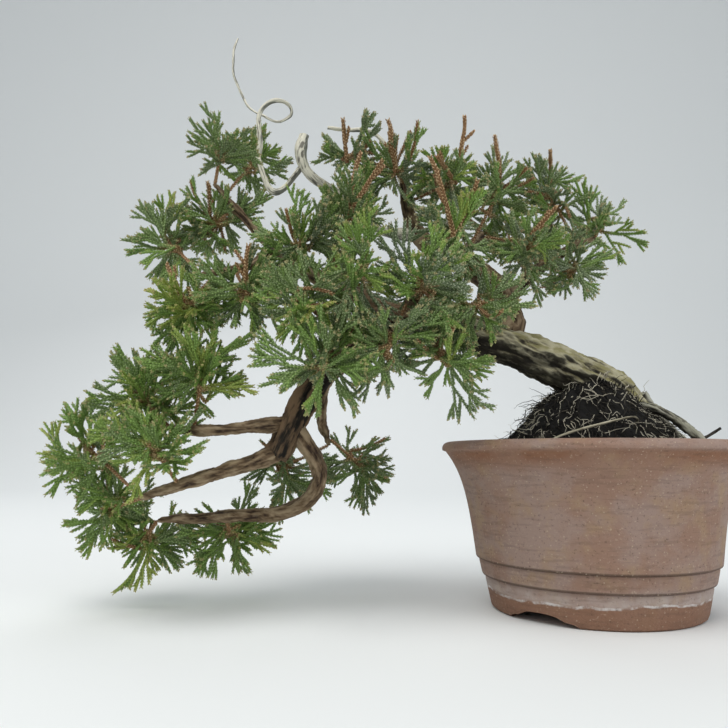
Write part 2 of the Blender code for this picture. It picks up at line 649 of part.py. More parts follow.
def limb_material(name):
    if name.startswith("deadwood"):
        return "deadwood"
    return "root" if name.startswith("root") else "bark"


def above_soil(point):
    """Point of x, y, z, radius in metres, from one in mm whose height is above the soil."""
    return Vector(point) * MM + Vector((0.0, 0.0, soil_top(0.0), 0.0))


def root_point(point):
    """Point of a root's run, from shares of the soil's radius and a height and radius in mm."""
    right, back, height, radius = point
    edge_radius, _ = soil_edge()
    surface = soil_top(edge_radius * math.hypot(right, back))
    return Vector((right * edge_radius, back * edge_radius, surface + height * MM, radius * MM))


def limb_plans():
    """Every limb and root: its bearer, its roughness and its points in metres."""
    plans = {}
    for name, (bearer, roughness, points) in LIMBS.items():
        plans[name] = (bearer, roughness * MM, [above_soil(point) for point in points])
    for name, (roughness, start, points) in ROOTS.items():
        run = [above_soil(start)] + [root_point(point) for point in points]
        plans[name] = ("trunk", roughness * MM, run)
    return plans


def room_for(bench, part):
    """Cutter that clears a part all round: its uncut shape, grown by the clearance."""
    name = "room_for_" + part.name
    if name in bench.cutters.objects:
        return bench.cutters.objects[name]
    room = part.data.copy()
    moves = [vertex.normal * CLEARANCE for vertex in room.vertices]
    for vertex, move in zip(room.vertices, moves):
        vertex.co += move
    return bench.add_cutter(name, room)


def build_limbs(bench):
    """Every stem, branch, root and piece of deadwood, each cut to seat on what bears it."""
    limbs, paths = {}, {}
    for seed, (name, (bearer, roughness, points)) in enumerate(limb_plans().items()):
        paths[name] = smooth_path(points, 1 if name == "deadwood_curl" else 2)
        mesh = tube_mesh(name, paths[name], 4 if name == "trunk" else 2)
        roughen(mesh, roughness, seed)
        shade_round(mesh)
        limbs[name] = bench.add_part(name, mesh, limb_material(name))
        if bearer:
            add_cut(limbs[name], room_for(bench, limbs[bearer]))
    return limbs, paths


class Surroundings:
    """Balls along everything solid that foliage has to stay clear of."""

    def __init__(self, paths):
        self.places, self.sizes = [], []
        for path in paths.values():
            self.add_path(path, LIMB_MARGIN)
        for side in (-1, 0, 1):
            x = MOUND_CENTRE_X + side * (MOUND_HALF_LENGTH - MOUND_HALF_DEPTH)
            self.add_ball((x, 0.0, soil_top(0.0)), MOUND_HALF_DEPTH)

    def add_ball(self, place, size):
        self.places.append(tuple(place))
        self.sizes.append(size)

    def add_path(self, path, margin):
        for here, there in zip(path, path[1:]):
            steps = max(1, int((there - here).length / SHOOT_FEELER))
            for step in range(steps):
                point = here.lerp(there, step / steps)
                self.add_ball(point[:3], point[3] + margin)

    def gap(self, place):
        """Free space round a place, up to the nearest ball or the pot."""
        away = np.linalg.norm(np.array(self.places) - np.array(place), axis=1)
        nearest = float((away - np.array(self.sizes)).min())
        beside_pot = math.hypot(place[0], place[1]) - RIM_RADIUS
        above_pot = place[2] - POT_HEIGHT
        return min(nearest, max(beside_pot, above_pot))


def nearest_on_path(path, place, taken):
    """Point of a path nearest to a place, away from its start and from the seats taken."""
    best = None
    for here, there in zip(path[2:], path[3:]):
        for step in range(5):
            point = here.lerp(there, step / 4).to_3d()
            if any((point - seat).length < SEAT_SPACING for seat in taken):
                continue
            if best is None or (point - place).length < (best - place).length:
                best = point
    return best


class Spray:
    """A tuft of shoots round a small core, on a stem that seats on its branch."""

    def __init__(self, name, bearer, middle, reach):
        self.name = name
        self.bearer = bearer
        self.middle = above_soil((*middle, 0.0)).to_3d()
        self.reach = reach * MM
        self.cell = []

    def core(self):
        """The core as a cage of faces, the first of them looking down the stem."""
        cage = bmesh.new()
        bmesh.ops.create_icosphere(cage, subdivisions=1, radius=CORE_RADIUS)
        cage.faces.ensure_lookup_table()
        turn = cage.faces[0].normal.rotation_difference(self.down).to_matrix()
        bmesh.ops.rotate(cage, verts=cage.verts, cent=(0, 0, 0), matrix=turn)
        cage.normal_update()
        return cage

    def settle(self, path, surface, taken):
        """Finds the seat on the branch and the length of the stem that reaches it."""
        self.seat = nearest_on_path(path, self.middle, taken)
        self.down = (self.seat - self.middle).normalized()
        cage = self.core()
        foot = cage.faces[0]
        centre = foot.calc_center_median()
        rim = [(vertex.co - centre) * STEM_TIP_SCALE for vertex in foot.verts]
        rim += [(rim[0] + rim[1]) / 2, (rim[1] + rim[2]) / 2, (rim[2] + rim[0]) / 2]
        rim.append(Vector((0.0, 0.0, 0.0)))
        start = self.middle + centre
        cage.free()
        self.stem = (self.seat - start).length
        while self.stem > 0.0:
            end = start + self.down * self.stem
            if self.outside(end, surface):
                if min(surface.find_nearest(end + spot)[3] for spot in rim) >= CLEARANCE:
                    break
            self.stem -= CLEARANCE / 2

    def outside(self, place, surface):
        """Whether nothing of the surface lies between a place and the core."""
        return surface.ray_cast(place, -self.down, (place - self.middle).length)[0] is None

    def stem_path(self):
        foot = self.middle + self.down * (CORE_RADIUS + self.stem)
        return [Vector((*self.middle, CORE_RADIUS)), Vector((*foot, STEM_FOOT_RADIUS))]

    def share_room(self, others):
        """Planes half way to every near neighbour, so that no two tufts can meet."""
        for other in others:
            apart = other.middle - self.middle
            if other is self or apart.length > NEIGHBOUR_DISTANCE:
                continue
            normal = apart.normalized()
            half_way = (self.middle + other.middle) / 2
            self.cell.append((normal, normal.dot(half_way) - CLEARANCE / 2))

    def allowed(self, start, direction, wanted, surroundings):
        """How far a shoot may grow before it leaves its room or nears something solid."""
        length = wanted
        for normal, offset in self.cell:
            closing = normal.dot(direction)
            if closing > 0.01:
                room = offset - SHOOT_TIP_RADIUS - normal.dot(start)
                length = min(length, room / closing)
        if direction.z < -0.01:
            length = min(length, (FOLIAGE_FLOOR - start.z) / direction.z)
        travelled = SHOOT_FEELER
        while travelled < length:
            if surroundings.gap(start + direction * travelled) < SHOOT_GAP:
                return max(0.0, travelled - SHOOT_FEELER)
            travelled += SHOOT_FEELER
        return max(0.0, length)

    def build(self, bench, surroundings, chance):
        """Grows the shoots out of the core's faces and makes the part."""
        grow = -self.down * LEAN_OUTWARDS + Vector((0.0, 0.0, LEAN_UPWARDS))
        cage = self.core()
        faces = list(cage.faces)
        outward = sorted(faces[1:], key=lambda face: face.normal.dot(self.down))
        self.extrude(cage, faces[0], self.down * self.stem, STEM_TIP_SCALE)
        for order, face in enumerate(outward):
            direction = (face.normal + grow).normalized()
            wanted = self.reach * chance.uniform(SHOOT_SHORTEST_SHARE, 1.0) - CORE_RADIUS
            if face.normal.dot(self.down) > 0.5:
                wanted *= LOW_SHOOT_SHARE
            start = self.middle + face.calc_center_median()
            length = self.allowed(start, direction, wanted, surroundings)
            if length < CORE_RADIUS:
                continue
            if order >= BENT_SHOOTS:
                self.extrude(cage, face, direction * length, SHOOT_TIP_SCALE)
                continue
            lower = length * ELBOW_SHARE
            elbow = self.extrude(cage, face, direction * lower, ELBOW_SCALE)
            rising = (direction + Vector((0.0, 0.0, BENT_RISE))).normalized()
            rest = self.allowed(start + direction * lower, rising, wanted - lower, surroundings)
            self.extrude(cage, elbow, rising * max(rest, CORE_RADIUS / 2), BENT_TIP_SCALE)
        bmesh.ops.recalc_face_normals(cage, faces=cage.faces)
        mesh = bpy.data.meshes.new(self.name)
        cage.to_mesh(mesh)
        cage.free()
        return bench.add_part(self.name, mesh, "foliage", self.middle)

    @staticmethod
    def extrude(cage, face, move, scale):
        """Pulls one face out along move and shrinks its end; returns the new end face."""
        end = bmesh.ops.extrude_discrete_faces(cage, faces=[face])["faces"][0]
        centre = end.calc_center_median()
        for vertex in end.verts:
            vertex.co = centre + (vertex.co - centre) * scale + move
        return end


def limb_surface(limb):
    """Tree for ray tests against a limb as it is after its cuts."""
    mesh = evaluated_mesh(limb)
    tree = BVHTree.FromPolygons(
        [vertex.co.copy() for vertex in mesh.vertices],
        [tuple(polygon.vertices) for polygon in mesh.polygons],
    )
    bpy.data.meshes.remove(mesh)
    return tree


def build_foliage(bench, limbs, paths):
    """Every spray, seated on its branch and grown within the room that it has."""
    sprays = [Spray(name, *values) for name, values in SPRAYS.items()]
    surfaces = {name: limb_surface(limbs[name]) for name in {s.bearer for s in sprays}}
    seats = []
    for spray in sprays:
        spray.settle(paths[spray.bearer], surfaces[spray.bearer], seats)
        spray.share_room(sprays)
        seats.append(spray.seat)
    for spray in sprays:
        surroundings = Surroundings(paths)
        for other in sprays:
            if other is not spray:
                surroundings.add_path(other.stem_path(), 0.0)
        spray.build(bench, surroundings, random.Random(spray.name))


def centre_on_origin(bench):
    """Moves the whole object so that its bounding box is centred over the origin."""
    low = np.full(3, np.inf)
    high = np.full(3, -np.inf)
    for part in bench.parts.objects:
        if part.type != "MESH":
            continue
        mesh = evaluated_mesh(part)
        for vertex in mesh.vertices:
            place = np.array(part.matrix_world @ vertex.co)
            low = np.minimum(low, place)
            high = np.maximum(high, place)
        bpy.data.meshes.remove(mesh)
    bench.axis.location.x = -(low[0] + high[0]) / 2
    bench.axis.location.y = -(low[1] + high[1]) / 2
    bpy.context.view_layer.update()


def main():
    clear_scene()
    bench = Bench()
    build_pot(bench)
    build_screen(bench)
    build_clip(bench)
    build_soil(bench)
    mound = build_mound(bench)
    limbs, paths = build_limbs(bench)
    for name in ("trunk", *ROOTS):
        add_cut(mound, room_for(bench, limbs[name]))
    build_foliage(bench, limbs, paths)
    centre_on_origin(bench)


main()
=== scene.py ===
"""Looks of a juniper bonsai in an unglazed stoneware pot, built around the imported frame.

All lengths are in metres. Limbs are grown along centre lines read from the frame's limbs, and
every tuft of foliage fills the room of its own spray in the frame.
"""
import sys
import logging
import math
import random
from dataclasses import dataclass, field
from enum import Enum

import bmesh
import bpy
import numpy as np
from mathutils import Matrix, Vector
from mathutils.bvhtree import BVHTree
from mathutils.kdtree import KDTree


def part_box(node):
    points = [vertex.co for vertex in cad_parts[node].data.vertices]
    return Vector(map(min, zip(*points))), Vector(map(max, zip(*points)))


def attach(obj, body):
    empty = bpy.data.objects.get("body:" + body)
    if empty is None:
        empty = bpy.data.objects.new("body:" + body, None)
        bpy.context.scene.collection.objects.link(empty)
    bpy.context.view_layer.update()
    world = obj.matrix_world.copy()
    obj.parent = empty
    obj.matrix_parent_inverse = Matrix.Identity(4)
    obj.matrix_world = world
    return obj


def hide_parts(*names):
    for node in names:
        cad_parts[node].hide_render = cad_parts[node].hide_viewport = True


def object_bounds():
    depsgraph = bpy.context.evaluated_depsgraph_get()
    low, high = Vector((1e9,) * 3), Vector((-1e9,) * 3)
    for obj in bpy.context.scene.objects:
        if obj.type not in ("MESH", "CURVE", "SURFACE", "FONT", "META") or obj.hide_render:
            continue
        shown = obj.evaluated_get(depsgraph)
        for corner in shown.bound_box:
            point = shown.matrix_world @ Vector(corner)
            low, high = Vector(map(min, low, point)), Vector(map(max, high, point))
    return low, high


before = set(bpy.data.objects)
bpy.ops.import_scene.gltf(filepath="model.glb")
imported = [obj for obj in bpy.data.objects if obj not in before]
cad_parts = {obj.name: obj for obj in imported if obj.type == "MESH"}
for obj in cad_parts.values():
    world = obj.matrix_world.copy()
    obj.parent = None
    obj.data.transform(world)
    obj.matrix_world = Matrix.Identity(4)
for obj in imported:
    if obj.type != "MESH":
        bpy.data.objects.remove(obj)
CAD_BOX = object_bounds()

LOG = logging.getLogger("bonsai")
MM = 0.001
Colour = tuple[float, float, float]
Socket = bpy.types.NodeSocket
Feed = Socket | float | tuple


# ---------------------------------------------------------------- trees of nodes

class Wiring:
    """Adds nodes to one node tree and joins them."""

    def __init__(self, tree: bpy.types.NodeTree) -> None:
        """Works on the given tree."""
        self.tree = tree

    def add(self, kind: str, inputs: dict | None = None, **settings: object) -> bpy.types.Node:
        """Adds one node.

        Args:
            kind: the node's type name.
            inputs: values or sockets to feed, by socket name or number.
            settings: the node's own settings.

        Returns:
            The new node.
        """
        node = self.tree.nodes.new(kind)
        for name, value in settings.items():
            setattr(node, name, value)
        for key, value in (inputs or {}).items():
            if isinstance(value, bpy.types.NodeSocket):
                self.tree.links.new(value, node.inputs[key])
            else:
                node.inputs[key].default_value = value
        return node

    def one(self, kind: str, inputs: dict | None = None, **settings: object) -> Socket:
        """First output of a new node, made as add makes it."""
        return self.add(kind, inputs, **settings).outputs[0]

    def math(self, operation: str, *values: Feed) -> Socket:
        """Result of a math node on one or two values."""
        return self.one("ShaderNodeMath", dict(enumerate(values)), operation=operation)

    def plus(self, first: Feed, second: Feed) -> Socket:
        """Sum of two values."""
        return self.math("ADD", first, second)

    def minus(self, first: Feed, second: Feed) -> Socket:
        """Difference of two values."""
        return self.math("SUBTRACT", first, second)

    def times(self, first: Feed, second: Feed) -> Socket:
        """Product of two values."""
        return self.math("MULTIPLY", first, second)

    def vector(self, operation: str, *values: Feed) -> Socket:
        """Vector result of a vector math node."""
        node = self.add("ShaderNodeVectorMath", dict(enumerate(values)), operation=operation)
        return node.outputs["Vector"]

    def scaled(self, arrow: Feed, length: Feed) -> Socket:
        """Vector times a number."""
        node = self.add("ShaderNodeVectorMath", {0: arrow, "Scale": length}, operation="SCALE")
        return node.outputs["Vector"]

    def upward(self, arrow: Socket) -> Socket:
        """Upward part of a vector."""
        return self.add("ShaderNodeSeparateXYZ", {0: arrow}).outputs["Z"]

    def stored(self, name: str, part: str = "Fac") -> Socket:
        """Value stored on the mesh under a name, as a material reads it."""
        return self.add("ShaderNodeAttribute", attribute_name=name).outputs[part]

    def here(self) -> Socket:
        """Place in the object of the point that is shaded."""
        return self.add("ShaderNodeTexCoord").outputs["Object"]

    def between(self, value: Feed, low: float, high: float) -> Socket:
        """Smooth step of a value from 0 at low to 1 at high."""
        return self.one("ShaderNodeMapRange", {0: value, 1: low, 2: high},
                        interpolation_type="SMOOTHSTEP")

    def noise(self, place: Socket, scale: Feed, detail: float = 3.0, rough: float = 0.55,
              distortion: float = 0.0) -> Socket:
        """Value of a noise texture."""
        return self.one("ShaderNodeTexNoise", {"Vector": place, "Scale": scale, "Detail": detail,
                                               "Roughness": rough, "Distortion": distortion})

    def cells(self, place: Socket, scale: Feed, feature: str = "F1") -> Socket:
        """Distance given by a Voronoi texture."""
        node = self.add("ShaderNodeTexVoronoi", {"Vector": place, "Scale": scale}, feature=feature)
        return node.outputs["Distance"]

    def mix(self, share: Feed, low: Feed, high: Feed) -> Socket:
        """Mix of two colours, given as tuples or sockets.

        Args:
            share: how much of the second colour shows.
            low: the first colour.
            high: the second colour.

        Returns:
            The mixed colour.
        """
        wide = [(*c, 1.0) if isinstance(c, tuple) else c for c in (low, high)]
        node = self.add("ShaderNodeMix", {0: share, 6: wide[0], 7: wide[1]}, data_type="RGBA",
                        blend_type="MIX")
        return node.outputs[2]

    def stain(self, body: Feed, share: Feed, strength: Feed, colour: Feed) -> Socket:
        """Body colour with another laid over it, by a share times a strength."""
        return self.mix(self.times(share, strength), body, colour)

    def ramp(self, value: Socket, stops: list[tuple[float, Colour]]) -> Socket:
        """Colour of a ramp at a value.

        Args:
            value: where to read the ramp.
            stops: place and colour of each stop, lowest first.

        Returns:
            The colour.
        """
        node = self.add("ShaderNodeValToRGB", {0: value})
        elements = node.color_ramp.elements
        elements[0].position, elements[0].color = stops[0][0], (*stops[0][1], 1.0)
        elements[1].position, elements[1].color = stops[-1][0], (*stops[-1][1], 1.0)
        for place, colour in stops[1:-1]:
            elements.new(place).color = (*colour, 1.0)
        return node.outputs[0]

    def bump(self, height: Socket, depth: float, strength: float = 1.0) -> Socket:
        """Normal of a bump of a given depth in metres."""
        return self.one("ShaderNodeBump", {"Height": height, "Distance": depth,
                                           "Strength": strength})


class GrowthTree(Wiring):
    """A Geometry Nodes tree whose inputs are named sizes."""

    def __init__(self, name: str, sizes: dict[str, float | int | str]) -> None:
        """Makes the tree.

        Args:
            name: the tree's name.
            sizes: default of each named input; a string names a socket type instead.
        """
        super().__init__(bpy.data.node_groups.new(name, "GeometryNodeTree"))
        face = self.tree.interface
        face.new_socket("Geometry", in_out="INPUT", socket_type="NodeSocketGeometry")
        self.keys = {}
        for label, default in sizes.items():
            kinds = {int: "NodeSocketInt", float: "NodeSocketFloat"}
            kind = default if isinstance(default, str) else kinds[type(default)]
            socket = face.new_socket(label, in_out="INPUT", socket_type=kind)
            if not isinstance(default, str):
                socket.default_value = default
            self.keys[label] = socket.identifier
        face.new_socket("Geometry", in_out="OUTPUT", socket_type="NodeSocketGeometry")
        self.given = self.tree.nodes.new("NodeGroupInput").outputs
        self.result = self.tree.nodes.new("NodeGroupOutput")

    def named(self, name: str, kind: str = "FLOAT") -> Socket:
        """Value of a named attribute."""
        node = self.add("GeometryNodeInputNamedAttribute", {"Name": name}, data_type=kind)
        return node.outputs["Attribute"]

    def store(self, shape: Socket, name: str, value: Socket, kind: str = "FLOAT") -> Socket:
        """Geometry with a value stored on its points under a name."""
        return self.one("GeometryNodeStoreNamedAttribute",
                        {"Geometry": shape, "Name": name, "Value": value}, data_type=kind)

    def chance(self, low: Feed, high: Feed, seed: int) -> Socket:
        """Random value between two, fixed by its seed."""
        node = self.add("FunctionNodeRandomValue", {2: low, 3: high, 8: seed}, data_type="FLOAT")
        return node.outputs[1]

    def chance_vector(self, low: float, high: float, seed: int) -> Socket:
        """Random vector with each part between two values, fixed by its seed."""
        return self.one("FunctionNodeRandomValue", {0: (low,) * 3, 1: (high,) * 3, 8: seed},
                        data_type="FLOAT_VECTOR")

    def resampled(self, line: Socket, spacing: Feed) -> Socket:
        """Line with its points at an even spacing."""
        return self.one("GeometryNodeResampleCurve", {"Curve": line, "Length": spacing},
                        mode="LENGTH")

    def ring(self, sides: Feed) -> Socket:
        """Ring of radius 1."""
        return self.one("GeometryNodeCurvePrimitiveCircle", {"Resolution": sides, "Radius": 1.0},
                        mode="RADIUS")

    def swept(self, line: Socket, ring: Socket, width: Socket) -> Socket:
        """Capped tube: a ring swept along a line and scaled to the tube's radius."""
        return self.one("GeometryNodeCurveToMesh", {"Curve": line, "Profile Curve": ring,
                                                    "Scale": width, "Fill Caps": True})

    def moved(self, shape: Socket, offset: Socket) -> Socket:
        """Geometry with its points moved."""
        return self.one("GeometryNodeSetPosition", {"Geometry": shape, "Offset": offset})

    def outwards(self, distance: Socket) -> Socket:
        """Offset of a given distance along each point's normal."""
        return self.scaled(self.one("GeometryNodeInputNormal"), distance)

    def strewn(self, points: Socket, thing: Socket, rotation: Socket, size: Socket) -> Socket:
        """Geometry with a thing on each point, turned and scaled."""
        return self.one("GeometryNodeInstanceOnPoints", {
            "Points": points, "Instance": thing, "Rotation": rotation, "Scale": size})

    def finish(self, *shapes: Socket) -> None:
        """Ends the tree: shapes joined, instances made real and the material set.

        Args:
            shapes: one geometry or more.
        """
        joined = self.add("GeometryNodeJoinGeometry")
        for shape in shapes:
            self.tree.links.new(shape, joined.inputs[0])
        real = self.one("GeometryNodeRealizeInstances", {0: joined.outputs[0]})
        dressed = self.one("GeometryNodeSetMaterial",
                           {"Geometry": real, "Material": self.given["Material"]})
        self.tree.links.new(dressed, self.result.inputs[0])

    def grow(self, name: str, seedling: bpy.types.Mesh, material: bpy.types.Material,
             **sizes: object) -> bpy.types.Object:
        """Runs the tree on a mesh.

        Args:
            name: name of the piece.
            seedling: the mesh that the tree starts from.
            material: the piece's material.
            sizes: values of the named inputs, with _ for each space.

        Returns:
            A plain mesh object at the origin.
        """
        start = placed(name + "_start", seedling)
        modifier = start.modifiers.new("growth", "NODES")
        modifier.node_group = self.tree
        modifier[self.keys["Material"]] = material
        for label, value in sizes.items():
            modifier[self.keys[label.replace("_", " ")]] = value
        mesh = evaluated(start)
        bpy.data.objects.remove(start)
        return make_piece(name, mesh, material)


# ---------------------------------------------------------------- meshes

def placed(name: str, data: bpy.types.ID) -> bpy.types.Object:
    """New object in the scene, at the origin.

    Args:
        name: the object's name.
        data: its mesh, light or camera.

    Returns:
        The object.
    """
    thing = bpy.data.objects.new(name, data)
    bpy.context.scene.collection.objects.link(thing)
    return thing


def evaluated(thing: bpy.types.Object) -> bpy.types.Mesh:
    """Mesh that an object's modifiers make."""
    graph = bpy.context.evaluated_depsgraph_get()
    return bpy.data.meshes.new_from_object(thing.evaluated_get(graph), depsgraph=graph)


def mesh_of(cage: bmesh.types.BMesh, name: str) -> bpy.types.Mesh:
    """Turns a cage into a mesh and frees it.

    Args:
        cage: the cage.
        name: the mesh's name.

    Returns:
        The mesh.
    """
    mesh = bpy.data.meshes.new(name)
    cage.to_mesh(mesh)
    cage.free()
    return mesh


def make_piece(name: str, mesh: bpy.types.Mesh, material: bpy.types.Material) -> bpy.types.Object:
    """Object at the origin that shows a mesh in one material.

    Args:
        name: name of the piece.
        mesh: its shape.
        material: its one material.

    Returns:
        The piece.
    """
    mesh.name = name
    mesh.materials.clear()
    mesh.materials.append(material)
    return placed(name, mesh)


def hand_over(piece: bpy.types.Object, slot: str, *nodes: str) -> None:
    """Rides a piece on the tree's one body, in place of the named nodes, and reports it.

    Args:
        piece: the finished piece.
        slot: the record's material slot; not used.
        nodes: the frame's nodes that the piece stands for.
    """
    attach(piece, "root")
    if nodes:
        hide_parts(*nodes)
    corners = np.empty(len(piece.data.vertices) * 3)
    piece.data.vertices.foreach_get("co", corners)
    corners = corners.reshape(-1, 3)
    over = max((np.array(CAD_BOX[0]) - corners.min(0)).max(),
               (corners.max(0) - np.array(CAD_BOX[1])).max()) / MM
    LOG.info("%s: %d faces for %s, %.2f mm outside the frame", piece.name,
             len(piece.data.polygons), ", ".join(nodes) or "-", max(0.0, over))


def welded(node: str) -> bmesh.types.BMesh:
    """Merged copy of a frame node's mesh.

    Args:
        node: the node's name.

    Returns:
        The copy, which the caller frees.
    """
    cage = bmesh.new()
    cage.from_mesh(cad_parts[node].data)
    bmesh.ops.remove_doubles(cage, verts=cage.verts, dist=0.01 * MM)
    cage.normal_update()
    cage.verts.ensure_lookup_table()
    return cage


def polyline_mesh(name: str, lines: list[np.ndarray], values: dict[str, list[np.ndarray]]
                  ) -> bpy.types.Mesh:
    """Mesh of separate chains of edges with named values on their points.

    Args:
        name: the mesh's name.
        lines: points of each chain.
        values: for each name, one array a chain, as long as the chain.

    Returns:
        The mesh, with no faces.
    """
    edges, count = [], 0
    for line in lines:
        first = np.arange(count, count + len(line) - 1)
        edges.append(np.stack([first, first + 1], axis=1))
        count += len(line)
    mesh = bpy.data.meshes.new(name)
    mesh.from_pydata(np.concatenate(lines).tolist(), np.concatenate(edges).tolist(), [])
    for label, parts in values.items():
        layer = mesh.attributes.new(label, "FLOAT", "POINT")
        layer.data.foreach_set("value", np.concatenate(parts).astype(np.float32))
    return mesh


def turned_mesh(name: str, profile: list[tuple[float, float]], segments: int, centre: Vector,
                wobble: float = 0.0) -> bpy.types.Mesh:
    """Closed shape turned about an upright axis.

    Args:
        name: the mesh's name.
        profile: closed outline of radius and height, down the outer side.
        segments: faces round the axis.
        centre: foot of the axis.
        wobble: how far a hand-thrown wall strays from a true circle.

    Returns:
        The turned mesh.
    """
    cage = bmesh.new()
    rings = []
    for radius, height in profile:
        if radius < 0.001 * MM:
            rings.append([cage.verts.new((centre.x, centre.y, centre.z + height))])
            continue
        ring = []
        for step in range(segments):
            turn = 2 * math.pi * step / segments
            stray = wobble * (math.sin(2 * turn + 0.7 + 30 * height)
                              + 0.5 * math.sin(5 * turn + 2.0 + 55 * height)) / 1.5
            reach = radius - wobble + stray
            ring.append(cage.verts.new((centre.x + reach * math.cos(turn),
                                        centre.y + reach * math.sin(turn), centre.z + height)))
        rings.append(ring)
    pairs = list(zip(rings, rings[1:]))
    if len(rings[0]) > 1:
        pairs.append((rings[-1], rings[0]))
    for upper, lower in pairs:
        for step in range(segments):
            after = (step + 1) % segments
            if len(upper) == 1 and len(lower) == 1:
                continue
            if len(upper) == 1:
                cage.faces.new((upper[0], lower[step], lower[after]))
            elif len(lower) == 1:
                cage.faces.new((upper[step], lower[0], upper[after]))
            else:
                cage.faces.new((upper[step], lower[step], lower[after], upper[after]))
    bmesh.ops.recalc_face_normals(cage, faces=cage.faces)
    mesh = mesh_of(cage, name)
    mesh.shade_smooth()
    return mesh


# ---------------------------------------------------------------- finishes

@dataclass(frozen=True)
class Finish:
    """A surface finish that becomes one material."""

    name: str
    roughness: float = 0.85
    specular: float = 0.35

    def material(self) -> bpy.types.Material:
        """The finish's material, made once.

        Returns:
            The material.
        """
        if self.name in bpy.data.materials:
            return bpy.data.materials[self.name]
        material = bpy.data.materials.new(self.name)
        material.use_nodes = True
        wiring = Wiring(material.node_tree)
        shader = material.node_tree.nodes["Principled BSDF"]
        shader.inputs["Roughness"].default_value = self.roughness
        shader.inputs["Specular IOR Level"].default_value = self.specular
        colour, normal = self.paint(wiring)
        material.node_tree.links.new(colour, shader.inputs["Base Color"])
        material.node_tree.links.new(normal, shader.inputs["Normal"])
        return material

    def paint(self, wiring: Wiring) -> tuple[Socket, Socket]:
        """Builds the finish's nodes.

        Args:
            wiring: the material's tree.

        Returns:
            The colour socket and the normal socket.
        """
        raise NotImplementedError


@dataclass(frozen=True)
class Stoneware(Finish):
    """Unglazed brown clay with sandy specks and a mineral line; painted shade in a redder band
    under the lip and in the step grooves.
    """

    centre: Colour = (0.0, 0.0, 0.0)
    height: float = 0.051
    line_height: float = 0.0062
    line_wave: float = 0.0042
    brown: Colour = (0.295, 0.180, 0.130)
    grey: Colour = (0.325, 0.230, 0.190)
    tan: Colour = (0.350, 0.235, 0.145)
    # colour of the painted shade under the lip
    lip_shade_red: Colour = (0.250, 0.122, 0.070)
    foot: Colour = (0.250, 0.132, 0.082)
    # heights of the step grooves that get painted shade
    lines: tuple[float, float] = (0.0100, 0.0152)
    grit: Colour = (0.520, 0.410, 0.310)
    # dark pits in the clay, also the colour of the painted shade in the step grooves
    pit_and_groove_shade: Colour = (0.075, 0.045, 0.032)
    mineral: Colour = (0.640, 0.600, 0.580)

    def paint(self, wiring: Wiring) -> tuple[Socket, Socket]:
        """Colour by height and patches, with painted shade under the lip and in the step grooves;
        bump from the grit.

        Args:
            wiring: the material's tree.

        Returns:
            The colour socket and the normal socket.
        """
        w = wiring
        place = w.one("ShaderNodeMapping", {"Vector": w.here(),
                                            "Location": tuple(-c for c in self.centre)})
        height = w.upward(place)
        patches = w.noise(place, 55.0, 4.0, 0.6)
        clouds = w.noise(place, 120.0, 3.0, 0.6)
        body = w.mix(w.between(patches, 0.40, 0.62), self.brown, self.grey)
        body = w.stain(body, w.between(clouds, 0.48, 0.70), 0.75, self.tan)
        # painted shade: a darker, redder band under the overhanging lip
        under_lip_shade = w.times(w.between(height, self.height * 0.80, self.height * 0.915),
                            w.between(height, self.height * 0.960, self.height * 0.925))
        body = w.stain(body, under_lip_shade, w.between(patches, 0.30, 0.60), self.lip_shade_red)
        wave = w.times(w.minus(w.noise(place, 90.0, 3.0), 0.5), self.line_wave)
        level = w.minus(w.minus(height, wave), self.line_height)
        body = w.stain(body, w.between(level, 0.0009, -0.0004), 0.85, self.foot)
        haze = w.times(w.between(level, -0.0002, 0.0008), w.between(level, 0.0058, 0.0008))
        body = w.stain(body, haze, w.times(w.noise(place, 260.0), 0.62), self.mineral)
        crust = w.between(w.math("ABSOLUTE", level), 0.00055, 0.00015)
        ragged = w.between(w.noise(place, 170.0, 5.0, 0.7), 0.38, 0.62)
        body = w.stain(body, crust, ragged, self.mineral)
        # painted shade: a dark line in the groove at each step of the wall
        for line in self.lines:
            step_groove_shade = w.between(w.math("ABSOLUTE", w.minus(height, line)), 0.00065, 0.00020)
            body = w.stain(body, step_groove_shade, 0.75, self.pit_and_groove_shade)
        marks = w.noise(w.vector("MULTIPLY", place, (0.12, 0.12, 1.0)), 900.0, 3.0, 0.6)
        body = w.stain(body, w.between(marks, 0.50, 0.34), 0.20, self.pit_and_groove_shade)
        sand = w.noise(place, 1150.0, 3.0, 0.75)
        body = w.stain(body, w.between(sand, 0.58, 0.74), 0.55, self.grit)
        body = w.stain(body, w.between(sand, 0.42, 0.28), 0.60, self.pit_and_groove_shade)
        body = w.stain(body, w.between(w.cells(place, 620.0), 0.16, 0.07), 0.60, self.grit)
        relief = w.plus(sand, w.times(w.noise(place, 700.0, 2.0), 0.8))
        return body, w.bump(relief, 0.00022, 1.0)


